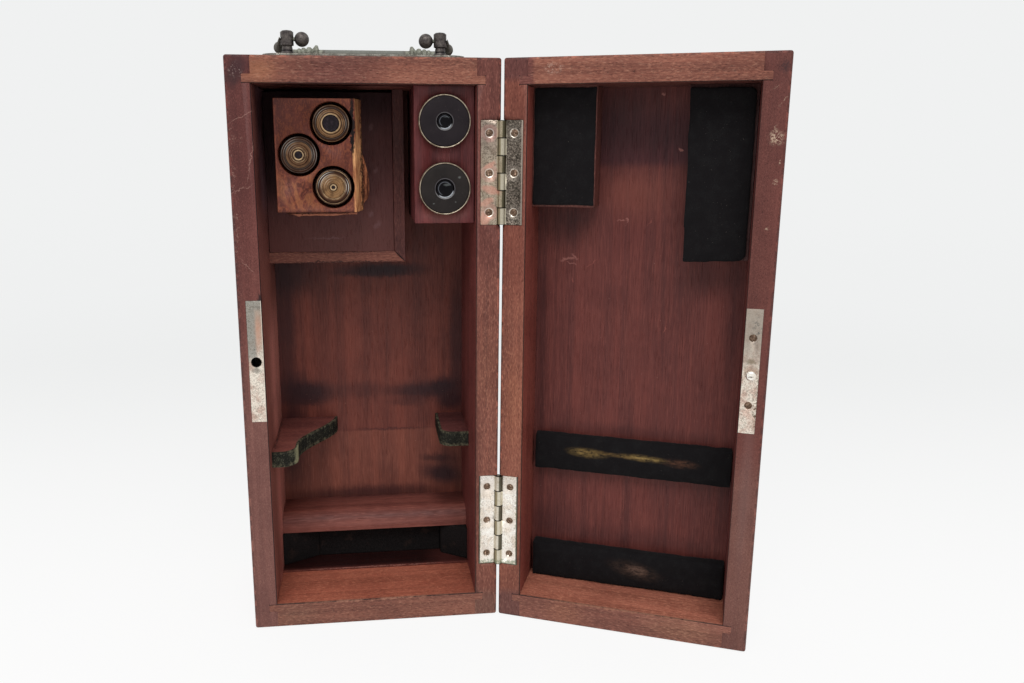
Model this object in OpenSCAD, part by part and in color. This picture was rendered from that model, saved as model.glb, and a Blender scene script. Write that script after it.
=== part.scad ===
// Wooden case for an upright microscope: two box halves hinged like a book, standing open.
// X runs across the back half, Y into its depth, Z up. The origin is the middle of the
// back half's underside. Each half is drawn from its own mating plane, with depth as +Y.

/* [Case] */
// Width of each half
case_w = 175; // [172:1:190]
// Height of the case
case_h = 395; // [388:1:415]
// Depth of the back half, with its panel
body_depth = 98; // [95:1:115]
// Depth of the door half, with its panel
door_depth = 51; // [50:1:65]
// Thickness of the upright sides
side_t = 16; // [15.5:0.5:18]
// Thickness of the top boards
top_t = 17; // [15:0.5:20]
// Thickness of the bottom boards
bottom_t = 18; // [15:0.5:20]
// Thickness of the back panel and the door panel
panel_t = 8; // [6:0.5:9]
// Width of the rebate that holds a panel
rebate_w = 6; // [5.5:0.5:8]
// Length of the corner tongues
tongue_l = 5.5; // [4:0.5:5.5]
// Thickness of the corner tongues
tongue_t = 5.5; // [4:0.5:5.5]

/* [Opening] */
// Angle between the two halves as they stand
rest_open = 157; // [120:1:175]
// Gap that stays between the two rims when the case is shut
closing_gap = 0.3; // [0.2:0.1:0.6]
// Distance of the hinge axis outside the side faces
hinge_off = 0.65; // [0.5:0.05:1]

/* [Hinges] */
// Length of each butt hinge
hinge_len = 68; // [60:1:72]
// Distance of the upper hinge's middle below the case's top
upper_hinge_drop = 73; // [65:1:85]
// Height of the lower hinge's middle
lower_hinge_z = 75.3; // [65:0.1:90]
// Width of a leaf, from the side face inwards
leaf_w = 13.3; // [12:0.1:14.5]
// Thickness of a leaf
leaf_t = 1.6; // [1.2:0.1:1.9]
// Radius of the knuckles
barrel_r = 2.5; // [2.3:0.1:2.8]
// Number of knuckles, shared by the two leaves
knuckles = 6; // [4:2:8]
// Radius of the hinge pins
hinge_pin_r = 1.2; // [1:0.05:1.3]
// Running clearance of a pin in the door's knuckles
pin_fit = 0.05; // [0.03:0.01:0.08]
// Distance of the screws from the side face
hinge_screw_x = 7.6; // [7:0.1:8.5]
// Distance between neighbouring screws of a hinge
hinge_screw_pitch = 25.75; // [22:0.25:27]

/* [Screws] */
// Radius of a countersink at the surface
csk_r = 2.8; // [2.6:0.1:3.1]
// Depth of a screw head below the surface
head_sink = 0.35; // [0.2:0.05:0.5]
// Radius of a screw's shank
shank_r = 1.15; // [1:0.05:1.3]
// Length of a screw
screw_l = 12; // [9:0.5:14]

/* [Lock] */
// Distance of the lock's middle line from the free side faces
lock_line = 10.5; // [10:0.1:10.6]
// Distance of the stud, and of the hole it enters, below the case's top
lock_drop = 197.5; // [180:0.5:210]
// Distance of the keyhole above the stud
key_rise = 17; // [14:0.5:20]
// Width of the lock's faceplate
face_w = 10; // [9.8:0.1:10.4]
// Length of the lock's faceplate
face_l = 84; // [78:1:90]
// Thickness of the faceplate and the catch plate
plate_t = 1.8; // [1.4:0.1:2]
// Radius of the hole that the stud enters
stud_hole_r = 3.55; // [3.5:0.05:3.7]
// Radius of the stud's head
stud_head_r = 3.1; // [2.9:0.05:3.15]
// Radius of the stud's neck
stud_neck_r = 1.8; // [1.5:0.1:2]
// Reach of the stud in front of the door's mating plane
stud_reach = 6.9; // [6.5:0.1:8]
// Thickness of the stud's head
stud_head_t = 2.8; // [2.4:0.1:2.8]
// Width of the catch plate
catch_w = 10.4; // [9.8:0.1:10.8]
// Length of the catch plate
catch_l = 82.5; // [78:0.5:88]
// Distance of the catch screws above and below the catch plate's middle
catch_screw_dz = 22.3; // [16:0.1:30]
// Width of the lock's case
lock_case_w = 9.6; // [9.4:0.1:9.7]
// Height of the lock's case
lock_case_h = 66; // [64:1:70]
// Depth of the lock's case
lock_case_d = 22; // [20:0.5:26]
// Wall of the lock's case
lock_wall = 0.8; // [0.6:0.1:0.9]
// Thickness of the bolt
bolt_t = 1.4; // [1:0.1:1.5]
// Length of the bolt
bolt_l = 26; // [22:0.5:27]
// Travel of the bolt
bolt_travel = 5.5; // [5:0.1:6]

/* [Accessory box] */
// Gap between the accessory box and the eyepiece block
comp_gap = 4.5; // [2:0.5:7]
// Inner height of the accessory box
comp_h = 114; // [100:1:120]
// Thickness of its shelf and its upright
comp_t = 8; // [6:0.5:9]
// Depth of its front edge behind the mating plane
comp_y = 59; // [54:0.5:66]
// Thickness of the panel that closes it
comp_panel_t = 6; // [4:0.5:8]
// Gap over the panel
comp_panel_gap = 2; // [1:0.5:4]

/* [Objective block] */
// Width of the block's face
obj_w = 51.6; // [51:0.2:54]
// Height of the block's face
obj_h = 73; // [72:0.5:78]
// Distance of the face from the left wall
obj_x = 12.3; // [10:0.1:16]
// Distance of the face's top from the ceiling
obj_top = 8.6; // [5:0.1:12]
// Depth of the face behind the mating plane
obj_y = 9; // [8:0.5:14]
// Distances of the low power hole from the block's left edge and top
low_hole = [36.3, 15.7];
// Distances of the middle power hole from the block's left edge and top
mid_hole = [14.9, 35.8];
// Distances of the high power hole from the block's left edge and top
high_hole = [36.7, 56.7];
// Width that the broken right side spreads towards the back
obj_flare = 4.2; // [2:0.1:6]
// Depth over which the right side spreads
flare_d = 17; // [10:1:22]
// Height of the rough ledge that is left under the block
ledge = 4; // [2:0.5:6]
// Width of the splinter that stands out on the right
chunk_w = 8.6; // [5:0.2:10]
// Depth from the face at which that splinter starts
chunk_d = 25; // [20:1:35]
// Radius of the three holes
obj_hole_r = 14; // [13.6:0.1:14.1]
// Depth of the three holes
obj_hole_d = 31; // [28:0.5:34]
// Radius of an objective's barrel
obj_barrel_r = 12.05; // [11.6:0.05:12.4]
// Radius of an objective's mounting thread
obj_thread_r = 10.15; // [10:0.05:10.3]
// Length of an objective's mounting thread
obj_thread_l = 5.5; // [4:0.5:7]

/* [Eyepieces] */
// Width of the eyepiece block
eye_w = 40; // [38:0.5:40.5]
// Height of the eyepiece block
eye_h = 89.5; // [84:0.5:95]
// Depth of the block's face behind the mating plane
eye_y = 9; // [8:0.5:14]
// Radius of the eyepieces' rims
eye_rim_r = 17.3; // [16.5:0.1:17.8]
// Radius of the eyepieces' tubes
eye_tube_r = 11.6; // [11.4:0.05:11.8]
// Length of the eyepieces' tubes
eye_tube_l = 52; // [40:1:60]
// Thickness of an eyepiece's rim
eye_rim_t = 4.4; // [3.5:0.1:5.5]
// Distance of the upper eyepiece from the ceiling
eye_up = 22.7; // [21:0.1:24]
// Distance between the eyepieces
eye_pitch = 43.6; // [40:0.1:46]
// Radius of the upper eye lens
upper_lens_r = 5.3; // [4:0.1:6]
// Radius of the lower eye lens
lower_lens_r = 6.3; // [4:0.1:7]

/* [Brackets] */
// Height of the brackets' upper faces
bracket_z = 128.5; // [110:0.5:150]
// Thickness of the brackets
bracket_t = 10; // [8:0.5:11]
// Thickness of the felt on their edges
felt_t = 1.8; // [1:0.1:2.4]
// Height of the felt on their edges
felt_h = 11; // [9:0.5:12]
// Depth of the left bracket's front edge
left_front_y = 13.8; // [10:0.1:20]
// Width of the left bracket's front lobe
left_lobe_w = 15.6; // [14:0.2:20]
// Width that the left bracket gains towards the back
left_gain = 26; // [20:0.5:32]
// Radius of the left lobe's corner
left_lobe_r = 10; // [6:0.5:12]
// Depth of the right bracket's front edge
right_front_y = 43; // [36:0.5:50]
// Width of the right bracket
right_w = 19.7; // [16:0.1:24]
// Radius of the right bracket's corner
right_r = 8; // [5:0.5:12]

/* [Foot stop] */
// Height of the bar's underside over the floor
bar_z = 27.2; // [22:0.2:34]
// Height of the bar
bar_h = 14.5; // [12.5:0.5:18]
// Depth of the bar's front edge behind the mating plane
bar_y = 58; // [54:0.5:64]
// Radius of the bar's rounded nose
bar_r = 12; // [8:0.5:12]
// Depth of the foot board's front edge
foot_board_y = 46.5; // [40:0.5:52]
// Thickness of the foot board
foot_board_t = 1.5; // [1:0.1:3]
// Width of the left guide
guide_l_w = 27; // [20:0.5:34]
// Depth of the left guide's outer corner
guide_l_y = 55; // [50:0.5:60]
// Width of the right guide
guide_r_w = 20; // [16:0.5:28]
// Depth of the right guide's outer corner
guide_r_y = 50; // [46:0.5:58]
// Depth of the stop between the guides
stop_y = 69; // [66:0.5:74]

/* [Door pads] */
// Width of the eyepiece pad block
pad_l_w = 42.3; // [38:0.1:46]
// Height of the eyepiece pad block
pad_l_h = 78.8; // [70:0.1:90]
// Depth of the eyepiece pad block's wooden face
pad_l_y = 19; // [16:0.5:26]
// Thickness of the velvet on the upper pads
velvet_t = 2; // [1.5:0.1:3]
// Width of the objective pad's board
pad_r_w = 43; // [38:0.5:48]
// Height of the objective pad's board
pad_r_h = 116; // [105:0.5:125]
// Depth of the objective pad's board face
pad_r_y = 25; // [22:0.5:30]
// Thickness of the objective pad's velvet cushion
pad_r_t = 4; // [3:0.5:6]
// Height of the two long pads
long_pad_h = 28; // [24:0.5:34]
// Height of the middle pad's lower edge
mid_pad_z = 104; // [90:0.5:120]
// Depth of the middle pad's face
mid_pad_y = 34; // [30:0.5:38]
// Depth of the bottom pad's face
low_pad_y = 32; // [28:0.5:37]
// Gap at the hinge end of the long pads
pad_gap = 2; // [1:0.5:4]
// Crown of the velvet pads
crown = 0.8; // [0.4:0.1:1.2]

/* [Handle] */
// Distance between the handle's posts
post_span = 99.2; // [92:0.2:106]
// Depth of the handle's axis behind the mating plane
handle_y = 22; // [20:0.5:30]
// Height of the handle's axis over its plate
pivot_h = 9.7; // [9:0.1:11]
// Width of the handle's plate
handle_plate_w = 24; // [18:0.5:26]
// Length that the plate runs past each post
plate_end = 16; // [14:0.5:18]
// Thickness of the handle's plate
handle_plate_t = 2; // [1.5:0.1:3]
// Radius of the posts' heads
post_head_r = 4.2; // [4:0.1:4.6]
// Radius of the bail's pivot ends
bail_pin_r = 1.5; // [1.3:0.05:1.6]
// Running clearance of the pivot ends in the posts
bail_fit = 0.08; // [0.05:0.01:0.1]
// Reach of the bail from its axis to its grip
bail_reach = 30; // [28:0.5:36]
// Radius of the bail's grip
grip_r = 2.6; // [2.2:0.1:3.2]
// Radius of the two knops on the grip
knop_r = 5.5; // [4.6:0.1:6]
// Distance of a knop from the middle of the grip
knop_x = 32.5; // [28:0.5:34]
// Radius of the ball finials
finial_r = 4.7; // [4:0.1:5]

/* [Hidden] */
$fn = 64;

rim_y = closing_gap / 2;
body_mid_y = rim_y + body_depth / 2;
half_w = case_w / 2;
wall_x = half_w - side_t;
floor_z = bottom_t;
ceil_z = case_h - top_t;
upper_hinge_z = case_h - upper_hinge_drop;
lock_z = case_h - lock_drop;
back_y = rim_y + body_depth - panel_t;
door_back_y = rim_y + door_depth - panel_t;
slack = 0.05;
eye_gap = 0.5;
mortise_gap = 0.25;
cut = 1;

mahogany = "#6b3226";
rim_wood = "#7d4533";
red_wood = "#7c2f25";
block_wood = "#9a5a34";
felt_green = "#2b3029";
velvet_black = "#151414";
nickel = "#b3ab97";
dark_nickel = "#8d8878";
brass = "#a8864a";
bronze = "#4a4440";
black_paint = "#1c1d20";
glass = "#9fb0b8";
steel = "#77736b";

/* The back half stays in place; the door half swings about the hinge axis. */
module in_body() {
    translate([0, -body_mid_y, 0]) children();
}
module in_door() {
    translate([half_w + hinge_off, -body_mid_y, 0]) rotate([0, 0, rest_open - 180])
        translate([half_w + hinge_off, 0, 0]) children();
}

/* A box given by its two ends along each axis. */
module span(x, y, z) {
    translate([x[0], y[0], z[0]]) cube([x[1] - x[0], y[1] - y[0], z[1] - z[0]]);
}
/* A cylinder that points along +Y from depth y. */
module bore_y(x, y, z, r, l, r2 = -1) {
    translate([x, y, z]) rotate([-90, 0, 0]) cylinder(r1 = r, r2 = r2 < 0 ? r : r2, h = l);
}

/* Countersunk wood screws, seen from their mating plane. */
head_r = csk_r - head_sink - slack;
module countersink(x, z, t) {
    bore_y(x, rim_y - slack, z, csk_r + slack, csk_r - shank_r, shank_r + slack);
    bore_y(x, rim_y, z, shank_r + slack, t + slack);
}
module screw_hole(x, z) {
    countersink(x, z, screw_l);
}
module screw(x, z, turn) {
    difference() {
        union() {
            bore_y(x, rim_y + head_sink, z, head_r, head_r - shank_r, shank_r);
            bore_y(x, rim_y + head_sink, z, shank_r, screw_l - head_sink - shank_r);
            bore_y(x, rim_y + screw_l - shank_r, z, shank_r, shank_r, 0.1);
        }
        translate([x, rim_y + head_sink, z]) rotate([0, turn, 0])
            cube([2 * csk_r, 1.1, 0.6], center = true);
    }
}
function screw_turn(i) = 25 + 53 * i;
function screw_heights(z) = [z + hinge_screw_pitch, z, z - hinge_screw_pitch];

/* Butt hinges. The hinge axis is at x = axis_x of a half whose hinge side is side (+1 or -1). */
axis_x = half_w + hinge_off;
pitch = hinge_len / knuckles;
knuckle_gap = 0.2;
gain_r = barrel_r + 0.35;
hinge_heights = [upper_hinge_z, lower_hinge_z];
module leaf(side, first, z_mid, bore) {
    z0 = z_mid - hinge_len / 2;
    difference() {
        union() {
            difference() {
                mirror([side < 0 ? 1 : 0, 0, 0])
                    span([half_w - leaf_w, axis_x], [rim_y, rim_y + leaf_t], [z0, z0 + hinge_len]);
                translate([side * axis_x, 0, z0 - cut]) cylinder(r = gain_r, h = hinge_len + 2 * cut);
            }
            for (i = [first : 2 : knuckles - 1]) {
                translate([side * axis_x, 0, z0 + i * pitch + knuckle_gap / 2])
                    cylinder(r = barrel_r, h = pitch - knuckle_gap);
                mirror([side < 0 ? 1 : 0, 0, 0])
                    span([axis_x - gain_r - slack, axis_x], [rim_y, rim_y + leaf_t],
                        [z0 + i * pitch + knuckle_gap / 2, z0 + (i + 1) * pitch - knuckle_gap / 2]);
            }
        }
        translate([side * axis_x, 0, z0 - cut]) cylinder(r = bore, h = hinge_len + 2 * cut);
        for (z = screw_heights(z_mid)) countersink(side * (half_w - hinge_screw_x), z, leaf_t);
    }
}
module hinge_gains(side) {
    for (z = hinge_heights) {
        mirror([side < 0 ? 1 : 0, 0, 0])
            span([half_w - leaf_w - mortise_gap, half_w + cut], [rim_y - cut, rim_y + leaf_t],
                [z - hinge_len / 2 - mortise_gap, z + hinge_len / 2 + mortise_gap]);
        translate([side * axis_x, 0, z - hinge_len / 2 - mortise_gap])
            cylinder(r = gain_r + slack, h = hinge_len + 2 * mortise_gap);
        for (s = screw_heights(z)) screw_hole(side * (half_w - hinge_screw_x), s);
    }
}

/* Boards that both halves share; d is the depth of the half. */
module side_board(side, d) {
    color(mahogany) mirror([side < 0 ? 1 : 0, 0, 0]) difference() {
        span([wall_x, half_w], [rim_y, rim_y + d], [0, case_h]);
        for (z = [ceil_z, floor_z - tongue_t])
            span([wall_x - cut, wall_x + tongue_l], [rim_y - cut, rim_y + d - panel_t], [z, z + tongue_t]);
        span([wall_x - cut, wall_x + rebate_w], [rim_y + d - panel_t, rim_y + d + cut],
            [floor_z - rebate_w, ceil_z + rebate_w]);
    }
}
module end_board(z, tongue_z, rebate_z, d) {
    color(rim_wood) difference() {
        union() {
            span([-wall_x, wall_x], [rim_y, rim_y + d], z);
            span([-wall_x - tongue_l, wall_x + tongue_l], [rim_y, rim_y + d - panel_t], tongue_z);
        }
        span([-half_w, half_w], [rim_y + d - panel_t, rim_y + d + cut], rebate_z);
    }
}
module top_board(d) {
    end_board([ceil_z, case_h], [ceil_z, ceil_z + tongue_t], [ceil_z - cut, ceil_z + rebate_w], d);
}
module bottom_board(d) {
    end_board([0, floor_z], [floor_z - tongue_t, floor_z], [floor_z - rebate_w, floor_z + cut], d);
}
module panel(d) {
    color(red_wood) span([-wall_x - rebate_w, wall_x + rebate_w], [rim_y + d - panel_t, rim_y + d],
        [floor_z - rebate_w, ceil_z + rebate_w]);
}

/* Places of the lock in the back half's left side. */
lock_x = -half_w + lock_line;
lock_case_y = rim_y + plate_t;
lock_case_z = lock_z + 1.5;
key_z = lock_z + key_rise;
key_y = lock_case_y + 11;
key_r = 2;
escutcheon_t = 1.2;
module keyhole(l, grow = 0) {
    rotate([0, 90, 0]) cylinder(r = key_r + grow, h = l);
    translate([0, -0.8 - grow, -7 - grow]) cube([l, 1.6 + 2 * grow, 7]);
}
module case_left_side() {
    in_body() color(mahogany) difference() {
        side_board(-1, body_depth);
        span([lock_x - face_w / 2, lock_x + face_w / 2], [rim_y - cut, rim_y + plate_t],
            [lock_z - face_l / 2, lock_z + face_l / 2]);
        span([lock_x - lock_case_w / 2, lock_x + lock_case_w / 2], [rim_y, lock_case_y + lock_case_d],
            [lock_case_z - lock_case_h / 2, lock_case_z + lock_case_h / 2]);
        translate([-half_w - cut, key_y, key_z]) keyhole(lock_line);
        escutcheon_form(-half_w - cut, escutcheon_t + cut);
    }
}
module case_right_side() {
    in_body() difference() {
        side_board(1, body_depth);
        color(mahogany) hinge_gains(1);
    }
}
nut_sink = 4;
nut_r = 4.6;
nut_t = 3.2;
post_shank_r = 2.5;
module case_top() {
    in_body() color(rim_wood) difference() {
        top_board(body_depth);
        for (s = [-1, 1]) translate([s * post_span / 2, handle_y, 0]) {
            translate([0, 0, ceil_z - cut]) cylinder(r = post_shank_r + slack, h = top_t + 2 * cut);
            translate([0, 0, ceil_z - cut]) cylinder(r = nut_r + 0.6, h = nut_sink + cut);
        }
    }
}
module case_bottom() { in_body() bottom_board(body_depth); }
module case_back_panel() { in_body() panel(body_depth); }

/* Accessory box in the upper left corner: a mitred shelf and upright, closed by a panel. */
comp_x = wall_x - eye_gap - eye_w - comp_gap - comp_t;
shelf_z = ceil_z - comp_h;
module accessory_shelf() {
    in_body() color(mahogany) translate([0, back_y, 0]) rotate([90, 0, 0])
        linear_extrude(back_y - comp_y)
            polygon([[-wall_x, shelf_z], [comp_x, shelf_z], [comp_x + comp_t, shelf_z - comp_t],
                [-wall_x, shelf_z - comp_t]]);
}
module accessory_upright() {
    in_body() color(mahogany) translate([0, back_y, 0]) rotate([90, 0, 0])
        linear_extrude(back_y - comp_y)
            polygon([[comp_x, ceil_z], [comp_x + comp_t, ceil_z], [comp_x + comp_t, shelf_z - comp_t],
                [comp_x, shelf_z]]);
}
module accessory_panel() {
    in_body() color("#4a2018") span([-wall_x + 0.2, comp_x - 0.2],
        [comp_y, comp_y + comp_panel_t], [shelf_z, ceil_z - comp_panel_gap]);
}

/* Objective block: three holes, a clean face and a broken right side and underside. */
obj_l = -wall_x + obj_x;
obj_zt = ceil_z - obj_top;
obj_low = [obj_l + low_hole[0], obj_zt - low_hole[1]];
obj_mid = [obj_l + mid_hole[0], obj_zt - mid_hole[1]];
obj_high = [obj_l + high_hole[0], obj_zt - high_hole[1]];
flare_y = obj_y + flare_d;
module objective_block() {
    in_body() color(block_wood) difference() {
        union() {
            translate([0, 0, obj_zt - obj_h]) linear_extrude(obj_h)
                polygon([[obj_l, obj_y], [obj_l + obj_w, obj_y], [obj_l + obj_w + obj_flare, flare_y],
                    [obj_l + obj_w + obj_flare, comp_y], [obj_l, comp_y]]);
            span([obj_l + 4, obj_l + obj_w], [flare_y, comp_y], [obj_zt - obj_h - ledge, obj_zt - obj_h]);
            span([obj_l + obj_w, obj_l + obj_w + chunk_w], [obj_y + chunk_d, comp_y],
                [obj_zt - 0.94 * obj_h, obj_zt - 0.48 * obj_h]);
        }
        for (p = [obj_low, obj_mid, obj_high]) {
            bore_y(p[0], obj_y - cut, p[1], obj_hole_r, obj_hole_d + cut);
            bore_y(p[0], obj_y, p[1], obj_thread_r + slack, obj_hole_d + obj_thread_l + 0.5);
        }
    }
}
/* An objective stands nose outwards; a step is a pair of shares of the barrel's radius and of the hole's depth. */
obj_seat = obj_y + obj_hole_d;
function nose(steps) = [for (s = steps) [obj_barrel_r * s[0], obj_hole_d * s[1]]];
lens_sink = 0.9;
lens_t = 1.6;
module objective(p, steps, lens_r) {
    in_body() color(brass) translate([p[0], obj_seat, p[1]]) rotate([90, 0, 0]) difference() {
        union() {
            translate([0, 0, -obj_thread_l]) cylinder(r = obj_thread_r, h = obj_thread_l);
            for (s = steps) cylinder(r = s[0], h = s[1]);
        }
        translate([0, 0, steps[len(steps) - 1][1] - 1.2]) cylinder(r = lens_r, h = 2);
    }
}
low_steps = nose([[1, 0.9], [0.86, 0.95], [0.7, 0.99], [0.58, 1.01]]);
mid_steps = nose([[1, 0.87], [0.8, 0.92], [0.53, 0.97], [0.37, 1.01]]);
high_steps = nose([[1, 0.89], [0.88, 0.92], [0.61, 0.95], [0.22, 1.01]]);
low_glass_r = 0.45 * obj_barrel_r;
mid_glass_r = 0.21 * obj_barrel_r;
high_glass_r = 0.1 * obj_barrel_r;
module objective_low_power() { objective(obj_low, low_steps, low_glass_r); }
module objective_mid_power() { objective(obj_mid, mid_steps, mid_glass_r); }
module objective_high_power() { objective(obj_high, high_steps, high_glass_r); }
module objective_lens(p, steps, r) {
    translate([p[0], obj_seat, p[1]]) rotate([90, 0, 0])
        translate([0, 0, steps[len(steps) - 1][1] - 1.2]) cylinder(r = r - slack, h = 0.6);
}
module objective_lenses() {
    in_body() color(glass) {
        objective_lens(obj_low, low_steps, low_glass_r);
        objective_lens(obj_mid, mid_steps, mid_glass_r);
        objective_lens(obj_high, high_steps, high_glass_r);
    }
}

/* Eyepiece block in the upper right corner, with two eyepieces in deep bores. */
eye_x = wall_x - eye_gap - eye_w / 2;
eye_zs = [ceil_z - eye_up, ceil_z - eye_up - eye_pitch];
lens_rs = [upper_lens_r, lower_lens_r];
cap_sink = 1.2;
cap_border = 0.9;
ring_t = 0.7;
module eyepiece_block() {
    in_body() color(red_wood) difference() {
        span([eye_x - eye_w / 2, eye_x + eye_w / 2], [eye_y, back_y], [ceil_z - eye_h, ceil_z]);
        for (z = eye_zs) bore_y(eye_x, eye_y - cut, z, eye_tube_r + 0.15, eye_tube_l + 2 * cut);
    }
}
module eyepiece_barrel(i) {
    r = lens_rs[i];
    in_body() color(brass) translate([eye_x, eye_y, eye_zs[i]]) rotate([90, 0, 0]) difference() {
        union() {
            translate([0, 0, -eye_tube_l]) cylinder(r = eye_tube_r, h = eye_tube_l);
            cylinder(r = eye_rim_r, h = eye_rim_t);
        }
        translate([0, 0, -eye_tube_l - cut]) cylinder(r = eye_tube_r - 1, h = eye_tube_l);
        translate([0, 0, -eye_tube_l]) cylinder(r = r - 0.6, h = eye_tube_l + eye_rim_t + cut);
        translate([0, 0, eye_rim_t - lens_sink - lens_t]) cylinder(r = r, h = lens_sink + lens_t + cut);
        translate([0, 0, eye_rim_t - cap_sink]) difference() {
            cylinder(r = eye_rim_r - cap_border, h = cap_sink + cut);
            cylinder(r = r + ring_t, h = cap_sink + 2 * cut);
        }
    }
}
module eyepiece_cap(i) {
    r = lens_rs[i];
    in_body() color(black_paint) translate([eye_x, eye_y - eye_rim_t + cap_sink, eye_zs[i]]) rotate([90, 0, 0])
        difference() {
            cylinder(r = eye_rim_r - cap_border - slack, h = cap_sink - 0.1);
            translate([0, 0, -cut]) cylinder(r = r + ring_t + slack, h = cap_sink + 2 * cut);
        }
}
module eyepiece_upper_barrel() { eyepiece_barrel(0); }
module eyepiece_upper_cap() { eyepiece_cap(0); }
module eyepiece_lower_barrel() { eyepiece_barrel(1); }
module eyepiece_lower_cap() { eyepiece_cap(1); }
module eyepiece_lenses() {
    in_body() color(glass) for (i = [0, 1])
        bore_y(eye_x, eye_y - eye_rim_t + lens_sink, eye_zs[i], lens_rs[i] - slack, lens_t);
}

/* Brackets on the side walls; grow widens an outline by the felt on its edge. */
function smooth(t) = t * t * (3 - 2 * t);
module left_outline(grow) {
    front = left_front_y - grow;
    lobe = left_lobe_w + grow;
    r = left_lobe_r + grow;
    start = left_front_y + 16.2;
    steps = 16;
    polygon(concat([[0, back_y], [0, front]],
        [for (a = [-90 : 15 : 0]) [lobe - r + r * cos(a), front + r + r * sin(a)]],
        [for (i = [0 : steps]) [lobe + left_gain * smooth(i / steps), start + (back_y - start) * i / steps]]));
}
module right_outline(grow) {
    w = right_w + grow;
    r = right_r + grow;
    front = right_front_y - grow;
    polygon(concat([[0, back_y], [0, front]],
        [for (a = [-90 : 15 : 0]) [w - r + r * cos(a), front + r + r * sin(a)]], [[w, back_y]]));
}
module left_bracket() {
    in_body() color(mahogany) translate([-wall_x, 0, bracket_z - bracket_t])
        linear_extrude(bracket_t) left_outline(0);
}
module left_bracket_felt() {
    in_body() color(felt_green) translate([-wall_x, 0, bracket_z - felt_h])
        linear_extrude(felt_h) difference() {
            left_outline(felt_t);
            left_outline(0);
        }
}
module right_bracket() {
    in_body() color(mahogany) translate([wall_x, 0, bracket_z - bracket_t]) mirror([1, 0, 0])
        linear_extrude(bracket_t) right_outline(0);
}
module right_bracket_felt() {
    in_body() color(felt_green) translate([wall_x, 0, bracket_z - felt_h]) mirror([1, 0, 0])
        linear_extrude(felt_h) difference() {
            right_outline(felt_t);
            right_outline(0);
        }
}

/* Foot stop: a rounded bar over a pocket of felt-covered blocks, on a thin board. */
slot_z = floor_z + foot_board_t;
bar_bottom = floor_z + bar_z;
module foot_clamp_bar() {
    in_body() color(mahogany) translate([-wall_x, 0, bar_bottom]) rotate([90, 0, 90])
        linear_extrude(2 * wall_x) union() {
            translate([bar_y + bar_r, 0]) square([back_y - bar_y - bar_r, bar_h]);
            translate([bar_y, 0]) square([bar_r + cut, bar_h - bar_r]);
            intersection() {
                translate([bar_y + bar_r, bar_h - bar_r]) circle(r = bar_r);
                translate([bar_y, 0]) square([bar_r + cut, bar_h]);
            }
        }
}
module foot_board() {
    in_body() color(red_wood) span([-wall_x, wall_x], [foot_board_y, back_y], [floor_z, slot_z]);
}
module guide(side, w, y, inner_y) {
    in_body() color(velvet_black) mirror([side < 0 ? 1 : 0, 0, 0]) translate([0, 0, slot_z])
        linear_extrude(bar_bottom - slot_z)
            polygon([[wall_x, y], [wall_x, back_y], [wall_x - w, back_y], [wall_x - w, inner_y]]);
}
module foot_guide_left() { guide(-1, guide_l_w, guide_l_y, stop_y); }
module foot_guide_right() { guide(1, guide_r_w, guide_r_y, stop_y - 6); }
module foot_stop() {
    in_body() color(velvet_black) span([-wall_x + guide_l_w, wall_x - guide_r_w], [stop_y, back_y],
        [slot_z, bar_bottom]);
}

/* Lock in the back half: a faceplate, a case, and a forked bolt that drops over the stud's neck. */
module lock_faceplate() {
    in_body() color(nickel) difference() {
        span([lock_x - face_w / 2, lock_x + face_w / 2], [rim_y, rim_y + plate_t],
            [lock_z - face_l / 2, lock_z + face_l / 2]);
        bore_y(lock_x, rim_y - cut, lock_z, stud_hole_r, plate_t + 2 * cut);
    }
}
module lock_case() {
    w = lock_case_w / 2;
    h = lock_case_h / 2;
    in_body() color(steel) difference() {
        span([lock_x - w, lock_x + w], [lock_case_y, lock_case_y + lock_case_d],
            [lock_case_z - h, lock_case_z + h]);
        span([lock_x - w + lock_wall, lock_x + w - lock_wall],
            [lock_case_y - cut, lock_case_y + lock_case_d - lock_wall],
            [lock_case_z - h + lock_wall, lock_case_z + h - lock_wall]);
        translate([lock_x - w - cut, key_y, key_z]) keyhole(lock_wall + 2 * cut);
    }
}
bolt_gap = 0.4;
bolt_y = lock_case_y + bolt_gap;
bolt_w = lock_case_w - 2 * lock_wall - 0.2;
bolt_tip = lock_z + stud_head_r + 0.8;
fork_w = 2 * (stud_neck_r + 0.3);
fork_l = bolt_travel + 2.5;
module lock_bolt() {
    in_body() color(brass) difference() {
        span([lock_x - bolt_w / 2, lock_x + bolt_w / 2], [bolt_y, bolt_y + bolt_t],
            [bolt_tip, bolt_tip + bolt_l]);
        span([lock_x - fork_w / 2, lock_x + fork_w / 2], [bolt_y - cut, bolt_y + bolt_t + cut],
            [bolt_tip - cut, bolt_tip + fork_l]);
        span([lock_x - bolt_w / 2 - cut, lock_x - bolt_w / 2 + 2.5], [bolt_y - cut, bolt_y + bolt_t + cut],
            [bolt_tip + fork_l + 6, bolt_tip + fork_l + 10]);
    }
}
spring_t = 0.5;
spring_r = 40;
module lock_spring() {
    in_body() color(steel) intersection() {
        span([lock_x - 2, lock_x + 2], [bolt_y + bolt_t, lock_case_y + lock_case_d - lock_wall],
            [bolt_tip, lock_case_z + lock_case_h / 2 - lock_wall]);
        translate([lock_x - 2, bolt_y + bolt_t + 0.3 + spring_r, bolt_tip + bolt_l / 2]) rotate([0, 90, 0])
            difference() {
                cylinder(r = spring_r, h = 4);
                translate([0, 0, -cut]) cylinder(r = spring_r - spring_t, h = 4 + 2 * cut);
            }
    }
}
module escutcheon_form(x, l) {
    for (dz = [1.5, -5.5]) translate([x, key_y, key_z + dz]) rotate([0, 90, 0]) cylinder(r = 5, h = l);
    translate([x, key_y - 5, key_z - 5.5]) cube([l, 10, 7]);
}
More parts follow.
